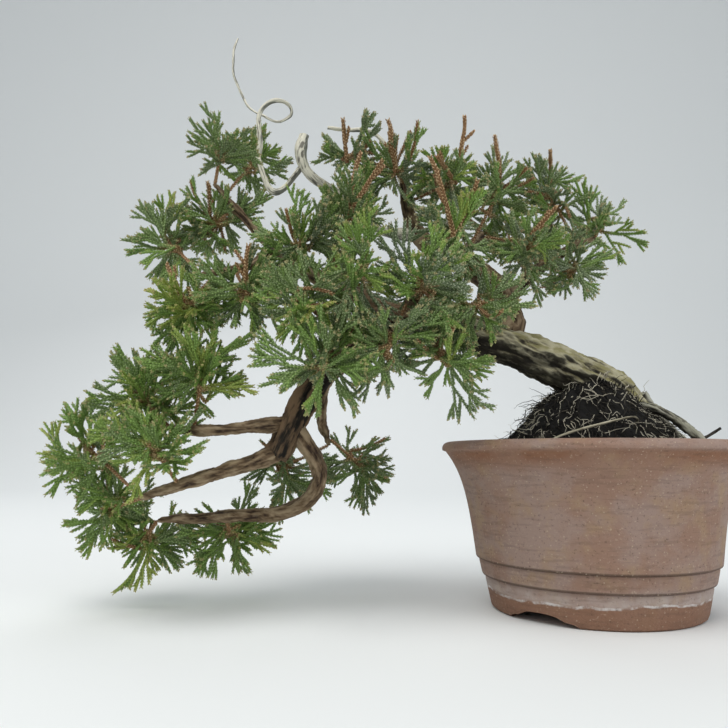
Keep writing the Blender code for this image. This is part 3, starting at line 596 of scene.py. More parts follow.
@dataclass(frozen=True)
class Bark(Finish):
    """Flaky bark whose grain follows the limb, lighter on its ridges than in its cracks, with
    painted shade under mossy limbs.
    """

    crack: Colour = (0.018, 0.012, 0.008)
    ridge: Colour = (0.210, 0.135, 0.080)
    flake: Colour = (0.330, 0.235, 0.150)
    top: Colour = (0.330, 0.235, 0.150)
    moss: float = 0.0
    # strength of the painted shade on faces turned down
    shade: float = 0.0
    grain: float = 1.0
    dark_from: float = 1.0
    dark_over: float = 0.025
    dark_ridge: Colour = (0.150, 0.095, 0.052)

    def paint(self, wiring: Wiring) -> tuple[Socket, Socket]:
        """Colour from the stored height of the bark and fine grain along the limb; where moss is
        set, lichen on upper faces and painted shade on faces turned down.

        Args:
            wiring: the material's tree.

        Returns:
            The colour socket and the normal socket.
        """
        w = wiring
        place = w.stored("bark_place", "Vector")
        relief = w.stored("relief")
        long_place = w.vector("MULTIPLY", place, (1.0, 1.0, 0.16))
        fibres = w.noise(long_place, 1300.0 * self.grain, 5.0, 0.7, 0.3)
        blotch = w.noise(w.vector("MULTIPLY", place, (1.0, 1.0, 0.5)), 420.0, 3.0)
        height = w.plus(relief, w.times(w.minus(fibres, 0.5), 0.9))
        body = w.ramp(height, [(0.10, self.crack), (0.42, self.ridge), (0.78, self.flake)])
        if self.moss > 0.0:
            rise = w.upward(w.add("ShaderNodeNewGeometry").outputs["Normal"])
            lit = w.times(w.between(rise, -0.15, 0.45), w.between(height, 0.20, 0.50))
            body = w.stain(body, lit, self.moss,
                           w.mix(w.between(blotch, 0.42, 0.60), self.top, self.flake))
            # painted shade: faces turned down darkened towards the crack colour
            body = w.stain(body, w.between(rise, 0.15, -0.35), self.shade, self.crack)
        body = w.stain(body, w.between(blotch, 0.50, 0.70), 0.35, self.flake)
        far = w.between(w.upward(place), self.dark_from, self.dark_from + self.dark_over)
        body = w.mix(far, body, w.mix(w.between(height, 0.25, 0.70), self.crack, self.dark_ridge))
        relief_out = w.plus(fibres, w.noise(place, 3800.0, 2.0))
        return body, w.bump(relief_out, 0.00010, 0.8)


@dataclass(frozen=True)
class Bleached(Finish):
    """Weathered deadwood: cream with dark hairline cracks along the grain, and painted shade in
    grey underneath and on the side turned from the light.
    """

    roughness: float = 0.7
    cream: Colour = (0.740, 0.710, 0.590)
    # colour of the painted shade on the side turned from the light
    grey: Colour = (0.230, 0.235, 0.200)
    line: Colour = (0.060, 0.055, 0.042)
    lit_side: tuple[float, float, float] = (-0.62, -0.25, 0.74)

    def paint(self, wiring: Wiring) -> tuple[Socket, Socket]:
        """Colour from the grain, which follows the limb, and painted shade on the side turned from
        the light.

        Args:
            wiring: the material's tree.

        Returns:
            The colour socket and the normal socket.
        """
        w = wiring
        place = w.stored("bark_place", "Vector")
        relief = w.stored("relief")
        grain = w.noise(w.vector("MULTIPLY", place, (1.0, 1.0, 0.06)), 3200.0, 3.0, 0.6)
        bands = w.noise(w.vector("MULTIPLY", place, (1.0, 1.0, 0.22)), 420.0, 3.0, 0.6, 0.6)
        normal = w.add("ShaderNodeNewGeometry").outputs["Normal"]
        # painted shade: grey on the side turned from lit_side, broken up by the bands along the
        # grain
        side = w.add("ShaderNodeVectorMath", {0: normal, 1: self.lit_side},
                     operation="DOT_PRODUCT").outputs["Value"]
        shade = w.minus(w.times(side, 0.34), w.minus(bands, 0.5))
        body = w.mix(w.between(shade, 0.00, -0.20), self.cream, self.grey)
        body = w.stain(body, w.between(grain, 0.47, 0.36), 0.75, self.line)
        body = w.stain(body, w.between(relief, 0.30, 0.12), 0.8, self.line)
        return body, w.bump(w.plus(grain, bands), 0.00014, 0.8)


@dataclass(frozen=True)
class ScaleLeaves(Finish):
    """Scale leaves: green with pale waxy margins, brown and cream on old twigs; the margins carry
    painted highlight.
    """

    roughness: float = 0.55
    specular: float = 0.4
    hue_stops: tuple[float, ...] = (0.0, 0.35, 0.65, 1.0)
    greens: tuple[Colour, ...] = ((0.140, 0.190, 0.095), (0.155, 0.230, 0.076),
                                  (0.190, 0.305, 0.062), (0.410, 0.450, 0.095))
    waxes_and_highlights: tuple[Colour, ...] = ((0.480, 0.530, 0.370), (0.430, 0.510, 0.270),
                                 (0.330, 0.530, 0.140), (0.600, 0.630, 0.200))
    tip: Colour = (0.480, 0.360, 0.190)
    dry: Colour = (0.260, 0.135, 0.056)
    dry_margin_and_highlight: Colour = (0.680, 0.480, 0.270)

    def paint(self, wiring: Wiring) -> tuple[Socket, Socket]:
        """Colour from each shoot's hue and age and each scale's margin, where highlight is
        painted.

        Args:
            wiring: the material's tree.

        Returns:
            The colour socket and the normal socket.
        """
        w = wiring
        hue, age, edge, reach = [w.stored(name) for name in ("hue", "age", "edge", "reach")]
        speckle = w.noise(w.here(), 1500.0, 2.0, 0.6)
        green = w.ramp(hue, list(zip(self.hue_stops, self.greens)))
        wax_and_highlight = w.ramp(hue, list(zip(self.hue_stops, self.waxes_and_highlights)))
        # margin: painted highlight on each scale's rim and tip, with the pale wax of the margin
        margin = w.between(w.plus(edge, w.times(speckle, 0.8)), 0.66, 1.15)
        leaf = w.mix(margin, green, wax_and_highlight)
        leaf = w.stain(leaf, w.between(reach, 0.93, 1.0), 0.55, self.tip)
        old = w.mix(margin, self.dry, self.dry_margin_and_highlight)
        dried = w.between(w.plus(age, w.times(speckle, 0.35)), 0.45, 0.80)
        body = w.mix(dried, leaf, old)
        return body, w.bump(speckle, 0.00008, 0.5)


@dataclass(frozen=True)
class Grit(Finish):
    """Grains or fibres, each with a tone of its own."""

    dark: Colour = (0.020, 0.015, 0.010)
    light: Colour = (0.120, 0.090, 0.062)
    pale: Colour = (0.420, 0.400, 0.340)
    pale_from: float = 0.93
    speckle: float = 900.0

    def paint(self, wiring: Wiring) -> tuple[Socket, Socket]:
        """Colour from each grain's stored tone.

        Args:
            wiring: the material's tree.

        Returns:
            The colour socket and the normal socket.
        """
        w = wiring
        tone = w.stored("tone")
        fine = w.noise(w.here(), self.speckle, 3.0, 0.65)
        value = w.plus(w.times(tone, 0.8), w.times(fine, 0.25))
        body = w.mix(w.between(value, 0.10, 0.85), self.dark, self.light)
        body = w.mix(w.between(tone, self.pale_from, self.pale_from + 0.03), body, self.pale)
        return body, w.bump(fine, 0.00015, 0.8)


@dataclass(frozen=True)
class Moulded(Finish):
    """Black moulded plastic with a fine grain."""

    roughness: float = 0.5
    base: Colour = (0.018, 0.018, 0.020)
    worn: Colour = (0.055, 0.050, 0.045)

    def paint(self, wiring: Wiring) -> tuple[Socket, Socket]:
        """Black, with a film of dried dirt.

        Args:
            wiring: the material's tree.

        Returns:
            The colour socket and the normal socket.
        """
        place = wiring.here()
        film = wiring.noise(place, 500.0, 3.0)
        grain = wiring.noise(place, 4000.0, 2.0)
        return wiring.mix(wiring.between(film, 0.45, 0.7), self.base, self.worn), \
            wiring.bump(grain, 0.00004, 0.6)


@dataclass(frozen=True)
class DrawnWire(Finish):
    """Dull drawn aluminium wire."""

    roughness: float = 0.42
    bright: Colour = (0.62, 0.63, 0.64)
    dull: Colour = (0.36, 0.36, 0.35)

    def material(self) -> bpy.types.Material:
        """The finish's material, which is metal.

        Returns:
            The material.
        """
        material = super().material()
        material.node_tree.nodes["Principled BSDF"].inputs["Metallic"].default_value = 1.0
        return material

    def paint(self, wiring: Wiring) -> tuple[Socket, Socket]:
        """Bright and dull patches with fine draw marks.

        Args:
            wiring: the material's tree.

        Returns:
            The colour socket and the normal socket.
        """
        place = wiring.here()
        marks = wiring.noise(wiring.vector("MULTIPLY", place, (0.1, 1.0, 1.0)), 6000.0, 2.0)
        patches = wiring.noise(place, 700.0, 3.0)
        return wiring.mix(wiring.between(patches, 0.4, 0.65), self.bright, self.dull), \
            wiring.bump(marks, 0.00002, 0.5)


# ---------------------------------------------------------------- limbs

@dataclass
class CentreLine:
    """Centre line of a limb, with its radius at each point."""

    points: np.ndarray
    radii: np.ndarray

    RING_SPREAD = 1.3 * MM
    RING_LEAST = 5
    END_GAP = 0.3 * MM

    @classmethod
    def of_node(cls, node: str) -> "CentreLine":
        """Reads the line from the rings of a frame node's tube.

        Args:
            node: the limb's node.

        Returns:
            The line, running from one end of the tube to the other.
        """
        cage = welded(node)
        tree = BVHTree.FromBMesh(cage)
        places = [vertex.co.copy() for vertex in cage.verts]
        middles = []
        for vertex in cage.verts:
            inwards = -vertex.normal
            hit = tree.ray_cast(vertex.co + inwards * 0.02 * MM, inwards)[0]
            middles.append((vertex.co + (hit or vertex.co)) / 2)
        rings = cls.clusters(middles)
        steps = cls.walk(cage)
        cage.free()
        rows = []
        for ring in rings:
            if len(ring) < cls.RING_LEAST:
                continue
            centre = sum((places[i] for i in ring), Vector()) / len(ring)
            radius = sum((places[i] - centre).length for i in ring) / len(ring)
            rows.append((sum(steps[i] for i in ring) / len(ring), *centre, radius))
        rows.sort()
        table = np.array(rows)
        line = cls(table[:, 1:4], table[:, 4])
        line.reach_ends(np.array([tuple(p) for p in places]))
        return line

    @classmethod
    def clusters(cls, middles: list[Vector]) -> list[list[int]]:
        """Groups of vertices whose middles lie together, one group a ring.

        Args:
            middles: for each vertex, the middle of the tube beside it.

        Returns:
            Numbers of the vertices of each ring.
        """
        tree = KDTree(len(middles))
        for index, middle in enumerate(middles):
            tree.insert(middle, index)
        tree.balance()
        left, groups = set(range(len(middles))), []
        while left:
            todo, group = [min(left)], []
            left.discard(todo[0])
            while todo:
                index = todo.pop()
                group.append(index)
                for _, other, _ in tree.find_range(middles[index], cls.RING_SPREAD):
                    if other in left:
                        left.discard(other)
                        todo.append(other)
            groups.append(group)
        return groups

    @staticmethod
    def walk(cage: bmesh.types.BMesh) -> list[float]:
        """Distance of each vertex along the tube from one of its ends.

        Args:
            cage: the tube.

        Returns:
            The distance of each vertex.
        """
        def spread(start: int) -> list[float]:
            """Shortest way along edges from one vertex to each.

            Args:
                start: the vertex's number.

            Returns:
                The length of the way to each vertex.
            """
            reached = [math.inf] * len(cage.verts)
            reached[start] = 0.0
            todo = {start}
            while todo:
                following = set()
                for index in todo:
                    vertex = cage.verts[index]
                    for edge in vertex.link_edges:
                        other = edge.other_vert(vertex)
                        total = reached[index] + edge.calc_length()
                        if total < reached[other.index] - 1e-9:
                            reached[other.index] = total
                            following.add(other.index)
                todo = following
            return reached
        first = spread(0)
        return spread(int(np.argmax(np.where(np.isfinite(first), first, 0.0))))

    def reach_ends(self, places: np.ndarray) -> None:
        """Lengthens the line to the tube's own ends.

        Args:
            places: the tube's vertices.
        """
        for end, inner in ((0, 1), (-1, -2)):
            tip = self.points[end]
            heading = tip - self.points[inner]
            heading /= np.linalg.norm(heading)
            away = places - tip
            along = away @ heading
            beside = np.linalg.norm(away - along[:, None] * heading, axis=1)
            near = beside < 1.6 * self.radii[end]
            beyond = float(along[near].max()) if near.any() else 0.0
            if beyond > self.END_GAP:
                place = 0 if end == 0 else len(self.points)
                self.points = np.insert(self.points, place, tip + heading * beyond, axis=0)
                self.radii = np.insert(self.radii, place, self.radii[end])

    def starting_near(self, place: Vector) -> "CentreLine":
        """The same line, turned so that it starts at the end nearer to a place."""
        ends = [(Vector(self.points[i]) - place).length for i in (0, -1)]
        return self if ends[0] <= ends[1] else self.turned()

    def turned(self) -> "CentreLine":
        """The same line from its other end."""
        return CentreLine(self.points[::-1].copy(), self.radii[::-1].copy())

    def rooted(self, depth: float) -> "CentreLine":
        """The line with its start pushed deeper into what bears it.

        Args:
            depth: how much deeper.

        Returns:
            The longer line.
        """
        heading = self.points[0] - self.points[1]
        heading /= np.linalg.norm(heading)
        return CentreLine(np.vstack([self.points[0] + heading * depth, self.points]),
                          np.concatenate([[self.radii[0]], self.radii]))


BARK_STRETCH = (1.0, 1.0, 0.22)
BARK_BENDS = 300.0
BARK_BEND = 0.0012
CRACK_WIDTH = 0.22
RIDGE_STEP = (0.28, 0.72)
RELIEF_WHOLE = 1.12
RELIEF_FOOT = 0.12
RELIEF_MIDDLE = 0.45
LUMPS = 160.0


def limb_tree() -> GrowthTree:
    """Tree that turns a centre line into a limb with bark or grain.

    Returns:
        The tree.
    """
    tree = GrowthTree("limb", {
        "Sides": 24, "Spacing": 0.0006, "Plate Depth": 0.0003, "Plate Size": 0.004,
        "Lump Depth": 0.0003, "Plate Share": 0.5, "Ridge Density": 900.0, "Flatness": 1.0,
        "Twist": 0.0, "Material": "NodeSocketMaterial"})
    given = tree.given
    line = tree.one("GeometryNodeMeshToCurve", {0: given["Geometry"]})
    smooth = tree.one("GeometryNodeCurveSplineType", {0: line}, spline_type="CATMULL_ROM")
    fine = tree.resampled(smooth, given["Spacing"])
    length = tree.add("GeometryNodeSplineParameter").outputs["Length"]
    fine = tree.store(fine, "along", length)
    fine = tree.one("GeometryNodeSetCurveTilt", {
        0: fine, "Tilt": tree.times(length, given["Twist"])})
    ring = tree.store(tree.ring(given["Sides"]), "ring", tree.one("GeometryNodeInputPosition"),
                      "FLOAT_VECTOR")
    squash = tree.one("ShaderNodeCombineXYZ", {0: 1.0, 1: given["Flatness"], 2: 1.0})
    ring = tree.one("GeometryNodeTransform", {0: ring, "Scale": squash})
    tube = tree.swept(fine, ring, tree.named("limb_radius"))
    wide = tree.scaled(tree.named("ring", "FLOAT_VECTOR"), tree.named("limb_radius"))
    high = tree.one("ShaderNodeCombineXYZ", {2: tree.named("along")})
    tube = tree.store(tube, "bark_place", tree.vector("ADD", wide, high), "FLOAT_VECTOR")

    bark_place = tree.named("bark_place", "FLOAT_VECTOR")
    stretched = tree.vector("MULTIPLY", bark_place, BARK_STRETCH)
    stray = tree.add("ShaderNodeTexNoise", {"Vector": stretched, "Scale": BARK_BENDS})
    bent = tree.vector("ADD", stretched, tree.scaled(stray.outputs["Color"], BARK_BEND))
    density = tree.math("DIVIDE", 1.0, given["Plate Size"])
    crack = tree.cells(bent, density, "DISTANCE_TO_EDGE")
    ridges = tree.noise(stretched, given["Ridge Density"], detail=5.0, rough=0.68)
    ridges = tree.between(ridges, *RIDGE_STEP)
    plate = tree.times(tree.between(crack, 0.0, CRACK_WIDTH), given["Plate Share"])
    rest = tree.minus(RELIEF_WHOLE, given["Plate Share"])
    relief = tree.plus(plate, tree.times(ridges, rest))
    tube = tree.store(tube, "relief", tree.minus(relief, RELIEF_FOOT))
    lumps = tree.minus(tree.noise(bark_place, LUMPS, detail=2.0), 0.5)
    height = tree.minus(tree.named("relief"), RELIEF_MIDDLE)
    push = tree.plus(tree.times(height, given["Plate Depth"]),
                     tree.times(lumps, given["Lump Depth"]))
    tube = tree.moved(tube, tree.outwards(push))
    tree.finish(tree.one("GeometryNodeSetShadeSmooth", {"Geometry": tube}))
    return tree


# shade sets the painted shade on the underside of the trunk and roots
TRUNK_BARK = Bark("trunk_bark", crack=(0.010, 0.008, 0.005), ridge=(0.115, 0.098, 0.058),
                  flake=(0.430, 0.400, 0.270), top=(0.235, 0.215, 0.090), moss=0.85, shade=0.9,
                  dark_from=0.062)
BRANCH_BARK = Bark("branch_bark", crack=(0.030, 0.016, 0.009), ridge=(0.150, 0.100, 0.055),
                   flake=(0.310, 0.235, 0.145), grain=1.2)
ROOT_BARK = Bark("root_bark", crack=(0.016, 0.014, 0.010), ridge=(0.140, 0.130, 0.095),
                 flake=(0.430, 0.420, 0.345), top=(0.300, 0.300, 0.220), moss=0.6, shade=0.8)
JIN_WOOD = Bleached("bleached_wood")


class LimbKind(Enum):
    """Kinds of limb: finish, slot, sides and sizes of the bark."""

    TRUNK = (TRUNK_BARK, "bark", 96, 0.0022, 0.0058, 0.0020, 0.30, 330.0)
    BRANCH = (BRANCH_BARK, "bark", 32, 0.0009, 0.0026, 0.0010, 0.10, 620.0)
    ROOT = (ROOT_BARK, "roots", 28, 0.0010, 0.0024, 0.0012, 0.15, 600.0)
    DEADWOOD = (JIN_WOOD, "deadwood", 24, 0.00030, 0.0022, 0.0003, 0.10, 800.0)

    @property
    def finish(self) -> Finish:
        """The kind's finish."""
        return self.value[0]

    @property
    def slot(self) -> str:
        """The record's slot."""
        return self.value[1]


@dataclass
class Limb:
    """One limb of the tree, grown along its node's centre line."""

    node: str
    bearer: str | None
    kind: LimbKind
    flatness: float = 1.0
    twist: float = 0.0
    rooting: float = 1.5 * MM
    end_taper: float = 0.5

    def build(self, tree: GrowthTree, lines: dict[str, CentreLine]) -> bpy.types.Object:
        """Grows the limb.

        Args:
            tree: the limb tree.
            lines: centre lines made so far, to which this one is added.

        Returns:
            The limb's piece.
        """
        line = CentreLine.of_node(self.node)
        if self.bearer:
            bearer = lines[self.bearer].points
            gaps = [np.linalg.norm(bearer - line.points[i], axis=1).min() for i in (0, -1)]
            if gaps[0] > gaps[1]:
                line = line.turned()
            line = line.rooted(self.rooting)
        else:
            low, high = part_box("pot")
            line = line.starting_near(Vector(((low.x + high.x) / 2, 0.0, high.z)))
        lines[self.node] = line
        if self.kind in (LimbKind.BRANCH, LimbKind.TRUNK):
            line.radii[-1] *= self.end_taper
        _, _, sides, depth, plate, lump, share, ridges = self.kind.value
        seedling = polyline_mesh(self.node + "_line", [line.points], {"limb_radius": [line.radii]})
        return tree.grow("wood_" + self.node, seedling, self.kind.finish.material(), Sides=sides,
                         Spacing=0.6 * MM, Plate_Depth=depth, Plate_Size=plate, Lump_Depth=lump,
                         Flatness=self.flatness, Twist=self.twist, Plate_Share=share,
                         Ridge_Density=ridges)


@dataclass(frozen=True)
class StrayRoot:
    """Loose root or twig on the soil, through points given from the middle of the rim."""

    name: str
    finish: Finish
    radius: float
    points: tuple[tuple[float, float, float], ...]

    def build(self, tree: GrowthTree) -> bpy.types.Object:
        """Grows the root.

        Args:
            tree: the limb tree.

        Returns:
            The root's piece.
        """
        low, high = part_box("pot")
        rim = np.array([(low.x + high.x) / 2, (low.y + high.y) / 2, high.z])
        line = rim + np.array(self.points) * MM
        radii = np.linspace(self.radius, 0.6 * self.radius, len(line))
        seedling = polyline_mesh(self.name + "_line", [line], {"limb_radius": [radii]})
        return tree.grow(self.name, seedling, self.finish.material(), Sides=10, Spacing=0.4 * MM,
                         Plate_Depth=0.15 * MM, Lump_Depth=0.5 * MM)


PALE_ROOT = Bark("pale_root", crack=(0.120, 0.105, 0.070), ridge=(0.420, 0.385, 0.280),
                 flake=(0.600, 0.560, 0.430))
DARK_TWIG = Bark("dark_twig", crack=(0.008, 0.007, 0.006), ridge=(0.030, 0.025, 0.020),
                 flake=(0.070, 0.060, 0.048))


@dataclass
class Wood:
    """Trunk, branches, exposed roots and deadwood."""

    limbs: list[Limb] = field(default_factory=lambda: [
        Limb("trunk", None, LimbKind.TRUNK),
        Limb("apex_stem", "trunk", LimbKind.BRANCH),
        Limb("crown_right_branch", "apex_stem", LimbKind.BRANCH),
        Limb("crown_back_branch", "apex_stem", LimbKind.BRANCH),
        Limb("crown_front_branch", "trunk", LimbKind.BRANCH),
        Limb("upper_left_branch", "trunk", LimbKind.BRANCH),
        Limb("left_middle_branch", "upper_left_branch", LimbKind.BRANCH),
        Limb("centre_front_branch", "trunk", LimbKind.BRANCH),
        Limb("back_branch", "trunk", LimbKind.BRANCH),
        Limb("lower_left_branch", "trunk", LimbKind.BRANCH),
        Limb("hooked_branch", "trunk", LimbKind.BRANCH),
        Limb("forked_branch", "trunk", LimbKind.BRANCH),
        Limb("deadwood_stem", "apex_stem", LimbKind.DEADWOOD, 0.85, 60.0),
        Limb("deadwood_curl", "deadwood_stem", LimbKind.DEADWOOD, 0.62, 45.0),
        Limb("deadwood_twig", "apex_stem", LimbKind.DEADWOOD, 0.9, 30.0),
        Limb("deadwood_stub", "apex_stem", LimbKind.DEADWOOD, 0.8, 30.0),
        Limb("root_right", "trunk", LimbKind.ROOT),
        Limb("root_front_right", "trunk", LimbKind.ROOT),
        Limb("root_back", "trunk", LimbKind.ROOT),
    ])
    strays: tuple[StrayRoot, ...] = (
        StrayRoot("long_pale_root", PALE_ROOT, 0.45 * MM,
                  ((-22.5, -26.5, -5.0), (-18.8, -26.0, -0.1), (-12.2, -26.0, 2.5),
                   (-3.3, -25.0, 4.8), (6.7, -21.0, 6.9), (11.0, -13.0, 5.0))),
        StrayRoot("dark_twig", DARK_TWIG, 0.65 * MM,
                  ((24.5, -15.5, -5.0), (27.9, -16.0, 0.1), (29.9, -17.0, 1.6),
                   (32.0, -17.0, 2.8), (33.4, -18.0, 3.9))),
    )

    def build(self) -> dict[str, CentreLine]:
        """Grows every limb.

        Returns:
            Centre lines by node.
        """
        tree, lines = limb_tree(), {}
        for limb in self.limbs:
            hand_over(limb.build(tree, lines), limb.kind.slot, limb.node)
        for stray in self.strays:
            hand_over(stray.build(tree), "roots")
        return lines


# ---------------------------------------------------------------- foliage

@dataclass(frozen=True)
class ShootLook:
    """Colouring of the shoots in one part of the tree."""

    hue: float
    spread: float
    brown: float
    bare: float
    bridges: int

    def draw_hue(self, chance: random.Random) -> float:
        """A shoot's hue, from 0 for grey green to 1 for yellow green."""
        return min(1.0, max(0.0, chance.gauss(self.hue, self.spread * 0.6)))


class Quarter(Enum):
    """Parts of the crown, each with its own look."""

    LOW = ShootLook(0.60, 0.18, 0.15, 0.10, 3)
    LEFT = ShootLook(0.42, 0.22, 0.25, 0.18, 3)
    CENTRE = ShootLook(0.42, 0.32, 0.30, 0.30, 3)
    CROWN = ShootLook(0.36, 0.30, 0.36, 0.38, 2)
    BACK = ShootLook(0.34, 0.14, 0.25, 0.35, 2)
    BRIGHT = ShootLook(0.70, 0.20, 0.25, 0.18, 3)

    @classmethod
    def of_node(cls, node: str) -> "Quarter":
        """The quarter that a spray's name says it is in.

        Args:
            node: the spray's node.

        Returns:
            The quarter.
        """
        for start, quarter in (("spray_left_bright", cls.BRIGHT), ("spray_low", cls.LOW),
                               ("spray_back", cls.BACK), ("spray_crown", cls.CROWN),
                               ("spray_left", cls.LEFT), ("spray_top", cls.LEFT)):
            if node.startswith(start):
                return quarter
        return cls.CENTRE


OPEN_TUFTS = ("spray_top_left", "spray_top_left_back", "spray_crown_left", "spray_crown_right_end",
              "spray_low_far_left")

OLD_TWIGS = {
    "spray_crown_left": ((9.0, -6.0, 3.0), (-2.0, -4.0, 12.0)),
    "spray_crown_top": ((2.0, -4.0, 15.0), (-4.0, -8.0, 9.0)),
    "spray_crown_middle": ((8.0, -10.0, 16.0), (-9.0, -12.0, 4.0)),
    "spray_crown_front": ((-6.0, -6.0, 22.0), (9.0, -6.0, 14.0)),
    "spray_crown_rise": ((1.0, -8.0, 15.0), (8.0, -9.0, 2.0)),
    "spray_centre_crown": ((-3.0, -6.0, 17.0), (8.0, -7.0, 15.0)),
    "spray_crown_right_top": ((3.0, -7.0, 12.0),),
    "spray_crown_right_front": ((9.0, -6.0, 9.0),),
    "spray_left_inner": ((2.0, -6.0, 15.0),),
    "spray_left_bright": ((-5.0, -5.0, 12.0), (10.0, -7.0, 3.0)),
    "spray_left_front": ((-4.0, -8.0, 13.0),),
}


@dataclass
class Room:
    """Where foliage may grow: inside the object's box and clear of the pot."""

    low: Vector
    high: Vector
    pot_centre: Vector
    pot_radius: float
    pot_top: float
    margin: float = 1.5 * MM
    clear_of_ground: float = 5.0 * MM

    @classmethod
    def from_frame(cls) -> "Room":
        """The room that the frame leaves."""
        low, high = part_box("pot")
        return cls(CAD_BOX[0], CAD_BOX[1], (low + high) / 2, (high.x - low.x) / 2, high.z)

    def holds(self, place: Vector) -> bool:
        """Whether a shoot may pass through a place.

        Args:
            place: the place.

        Returns:
            True where there is room.
        """
        for axis in range(3):
            floor = self.clear_of_ground if axis == 2 else 0.0
            if place[axis] < self.low[axis] + max(self.margin, floor):
                return False
            if place[axis] > self.high[axis] - self.margin:
                return False
        out = math.hypot(place.x - self.pot_centre.x, place.y - self.pot_centre.y)
        return place.z > self.pot_top + self.margin or out > self.pot_radius + self.margin


@dataclass
class Shoot:
    """One unforked stretch of shoot."""

    points: list[Vector]
    radius: float
    hue: float
    old: float


@dataclass
class Tuft:
    """The foliage of one spray: a fan of forking shoots along each of its fingers."""

    node: str
    room: Room
    neighbours: list[Vector] = field(default_factory=list)
    step: float = 0.9 * MM
    radius: float = 0.63 * MM
    fork_angle: tuple[float, float] = (0.50, 0.80)
    fork_gap: tuple[float, float] = (3.0 * MM, 5.0 * MM)
    overhang: float = 4.8 * MM
    shoots: list[Shoot] = field(default_factory=list)

    TIP_EDGE = 1.5 * MM
    CORE_VALENCE = 9
    STEM_SHARE = 0.45
    STEM_ROOTING = 0.8 * MM
    BRIDGE_LIMIT = 34.0 * MM
    BRIDGE_REACH = 0.52
    LIFT = 0.42
    FORK_LEAST = 4.8 * MM
    FORK_TWICE = 8.0 * MM
    DEEPEST_FORK = 2
    FINGER_REACH = (0.75, 1.10)
    FINGER_WIDTH = 1.05
    START_ASIDE_MM = (0.3, 4.0)
    BRIDGE_ASIDE_MM = (2.0, 8.0)
    SWAY = (0.08, 0.36)
    LIFT_SHARE = (0.2, 0.8)
    BROWN_SHARE = 0.25
    FOOT_AGE = 0.26
    FIRST_FORK = 0.16
    FORK_REACH = (0.45, 0.90)
    FORK_EXTRA_MM = (2.0, 4.6)
    FORK_WIDTH = (0.86, 1.0)
    FORK_TILT = (-0.45, 0.45)
    FORK_BEND = 0.22
    FORK_BEND_OUT = 0.2
    FAN_TWIST = 0.35
    HUE_STRAY = 0.07
    TWIG_REACH = (0.7, 1.0)
    TWIG_EXTRA_MM = (0.6, 1.6)
    TWIGS = (0.34, 0.66)
    ONE_TWIG = (0.48,)
    SMALL_SWAY = 0.05
    TIP_TAPER = 0.18
    AGE_FADING = 1.3
    AGE_GAIN = 2.2
    OLD_START_MM = 2.0
    OLD_WIDTH = 1.38
    OLD_HUE = 0.3
    OLD_BEND = 0.3
    SPURS = (0.45, 0.70)
    SPUR_WIDTH = 1.1
    SPUR_TURN = 0.8
    SPUR_LENGTH_MM = (3.0, 6.0)

    def read_fingers(self) -> tuple[Vector, Vector, list[Vector]]:
        """Middle of the spray's core, foot of its stem, and the tips of its fingers.

        Returns:
            The middle, the foot and the tips.
        """
        cage = welded(self.node)
        small = []
        for face in cage.faces:
            longest = max(edge.calc_length() for edge in face.edges)
            if longest < 1.15 * self.TIP_EDGE:
                small.append((longest, face.calc_center_median().copy()))
        core = [v.co.copy() for v in cage.verts if len(v.link_edges) >= self.CORE_VALENCE]
        middle = sum(core, Vector()) / max(1, len(core))
        cage.free()
        tips = [place for longest, place in small if longest < self.TIP_EDGE]
        feet = [place for longest, place in small if longest >= self.TIP_EDGE]
        foot = min(feet, key=lambda place: (place - middle).length) if feet else middle
        return middle, foot, tips

    def grow(self, chance: random.Random) -> None:
        """Grows the whole tuft, with a few longer fingers towards its neighbours.

        Args:
            chance: source of the random draws.
        """
        look = Quarter.of_node(self.node).value
        middle, foot, tips = self.read_fingers()
        root = foot + (foot - middle).normalized() * self.STEM_ROOTING
        self.shoots.append(Shoot([root, (foot + middle) / 2, middle],
                                 self.FINGER_WIDTH * self.radius, look.hue, 1.0))
        for heading in OLD_TWIGS.get(self.node, ()):
            self.grow_old_twig(middle, Vector(heading) * MM, chance)
        near = sorted((other for other in self.neighbours if (other - middle).length > MM),
                      key=lambda other: (other - middle).length)
        bridges = 0 if self.node in OPEN_TUFTS else look.bridges
        for other in near[:bridges]:
            gap = other - middle
            if gap.length > self.BRIDGE_LIMIT:
                continue
            for _ in range(2):
                aside = random_side(gap.normalized(), chance)
                aside = aside * chance.uniform(*self.BRIDGE_ASIDE_MM) * MM
                end = middle + gap * self.BRIDGE_REACH + aside
                self.grow_finger(middle, foot, end, look.draw_hue(chance), look, chance)
        for tip in tips:
            if chance.random() < look.bare:
                continue
            self.grow_finger(middle, foot, tip, look.draw_hue(chance), look, chance)

    def grow_old_twig(self, middle: Vector, run: Vector, chance: random.Random) -> None:
        """Grows a stout brown twig whose scales have dried, with two short spurs.

        Args:
            middle: middle of the spray's core.
            run: the twig's way from there.
            chance: source of the random draws.
        """
        heading = run.normalized()
        start = middle - heading * self.OLD_START_MM * MM
        points = self.trace(start, heading, run.length + self.OLD_START_MM * MM,
                            random_side(heading, chance) * self.OLD_BEND, chance)
        self.shoots.append(Shoot(points, self.radius * self.OLD_WIDTH, self.OLD_HUE, 1.0))
        for share in self.SPURS:
            index = int(share * (len(points) - 1))
            side = (heading + random_side(heading, chance) * self.SPUR_TURN).normalized()
            length = chance.uniform(*self.SPUR_LENGTH_MM) * MM
            spur = self.trace(points[index], side, length, heading, chance)
            self.shoots.append(Shoot(spur, self.radius * self.SPUR_WIDTH, self.OLD_HUE, 1.0))

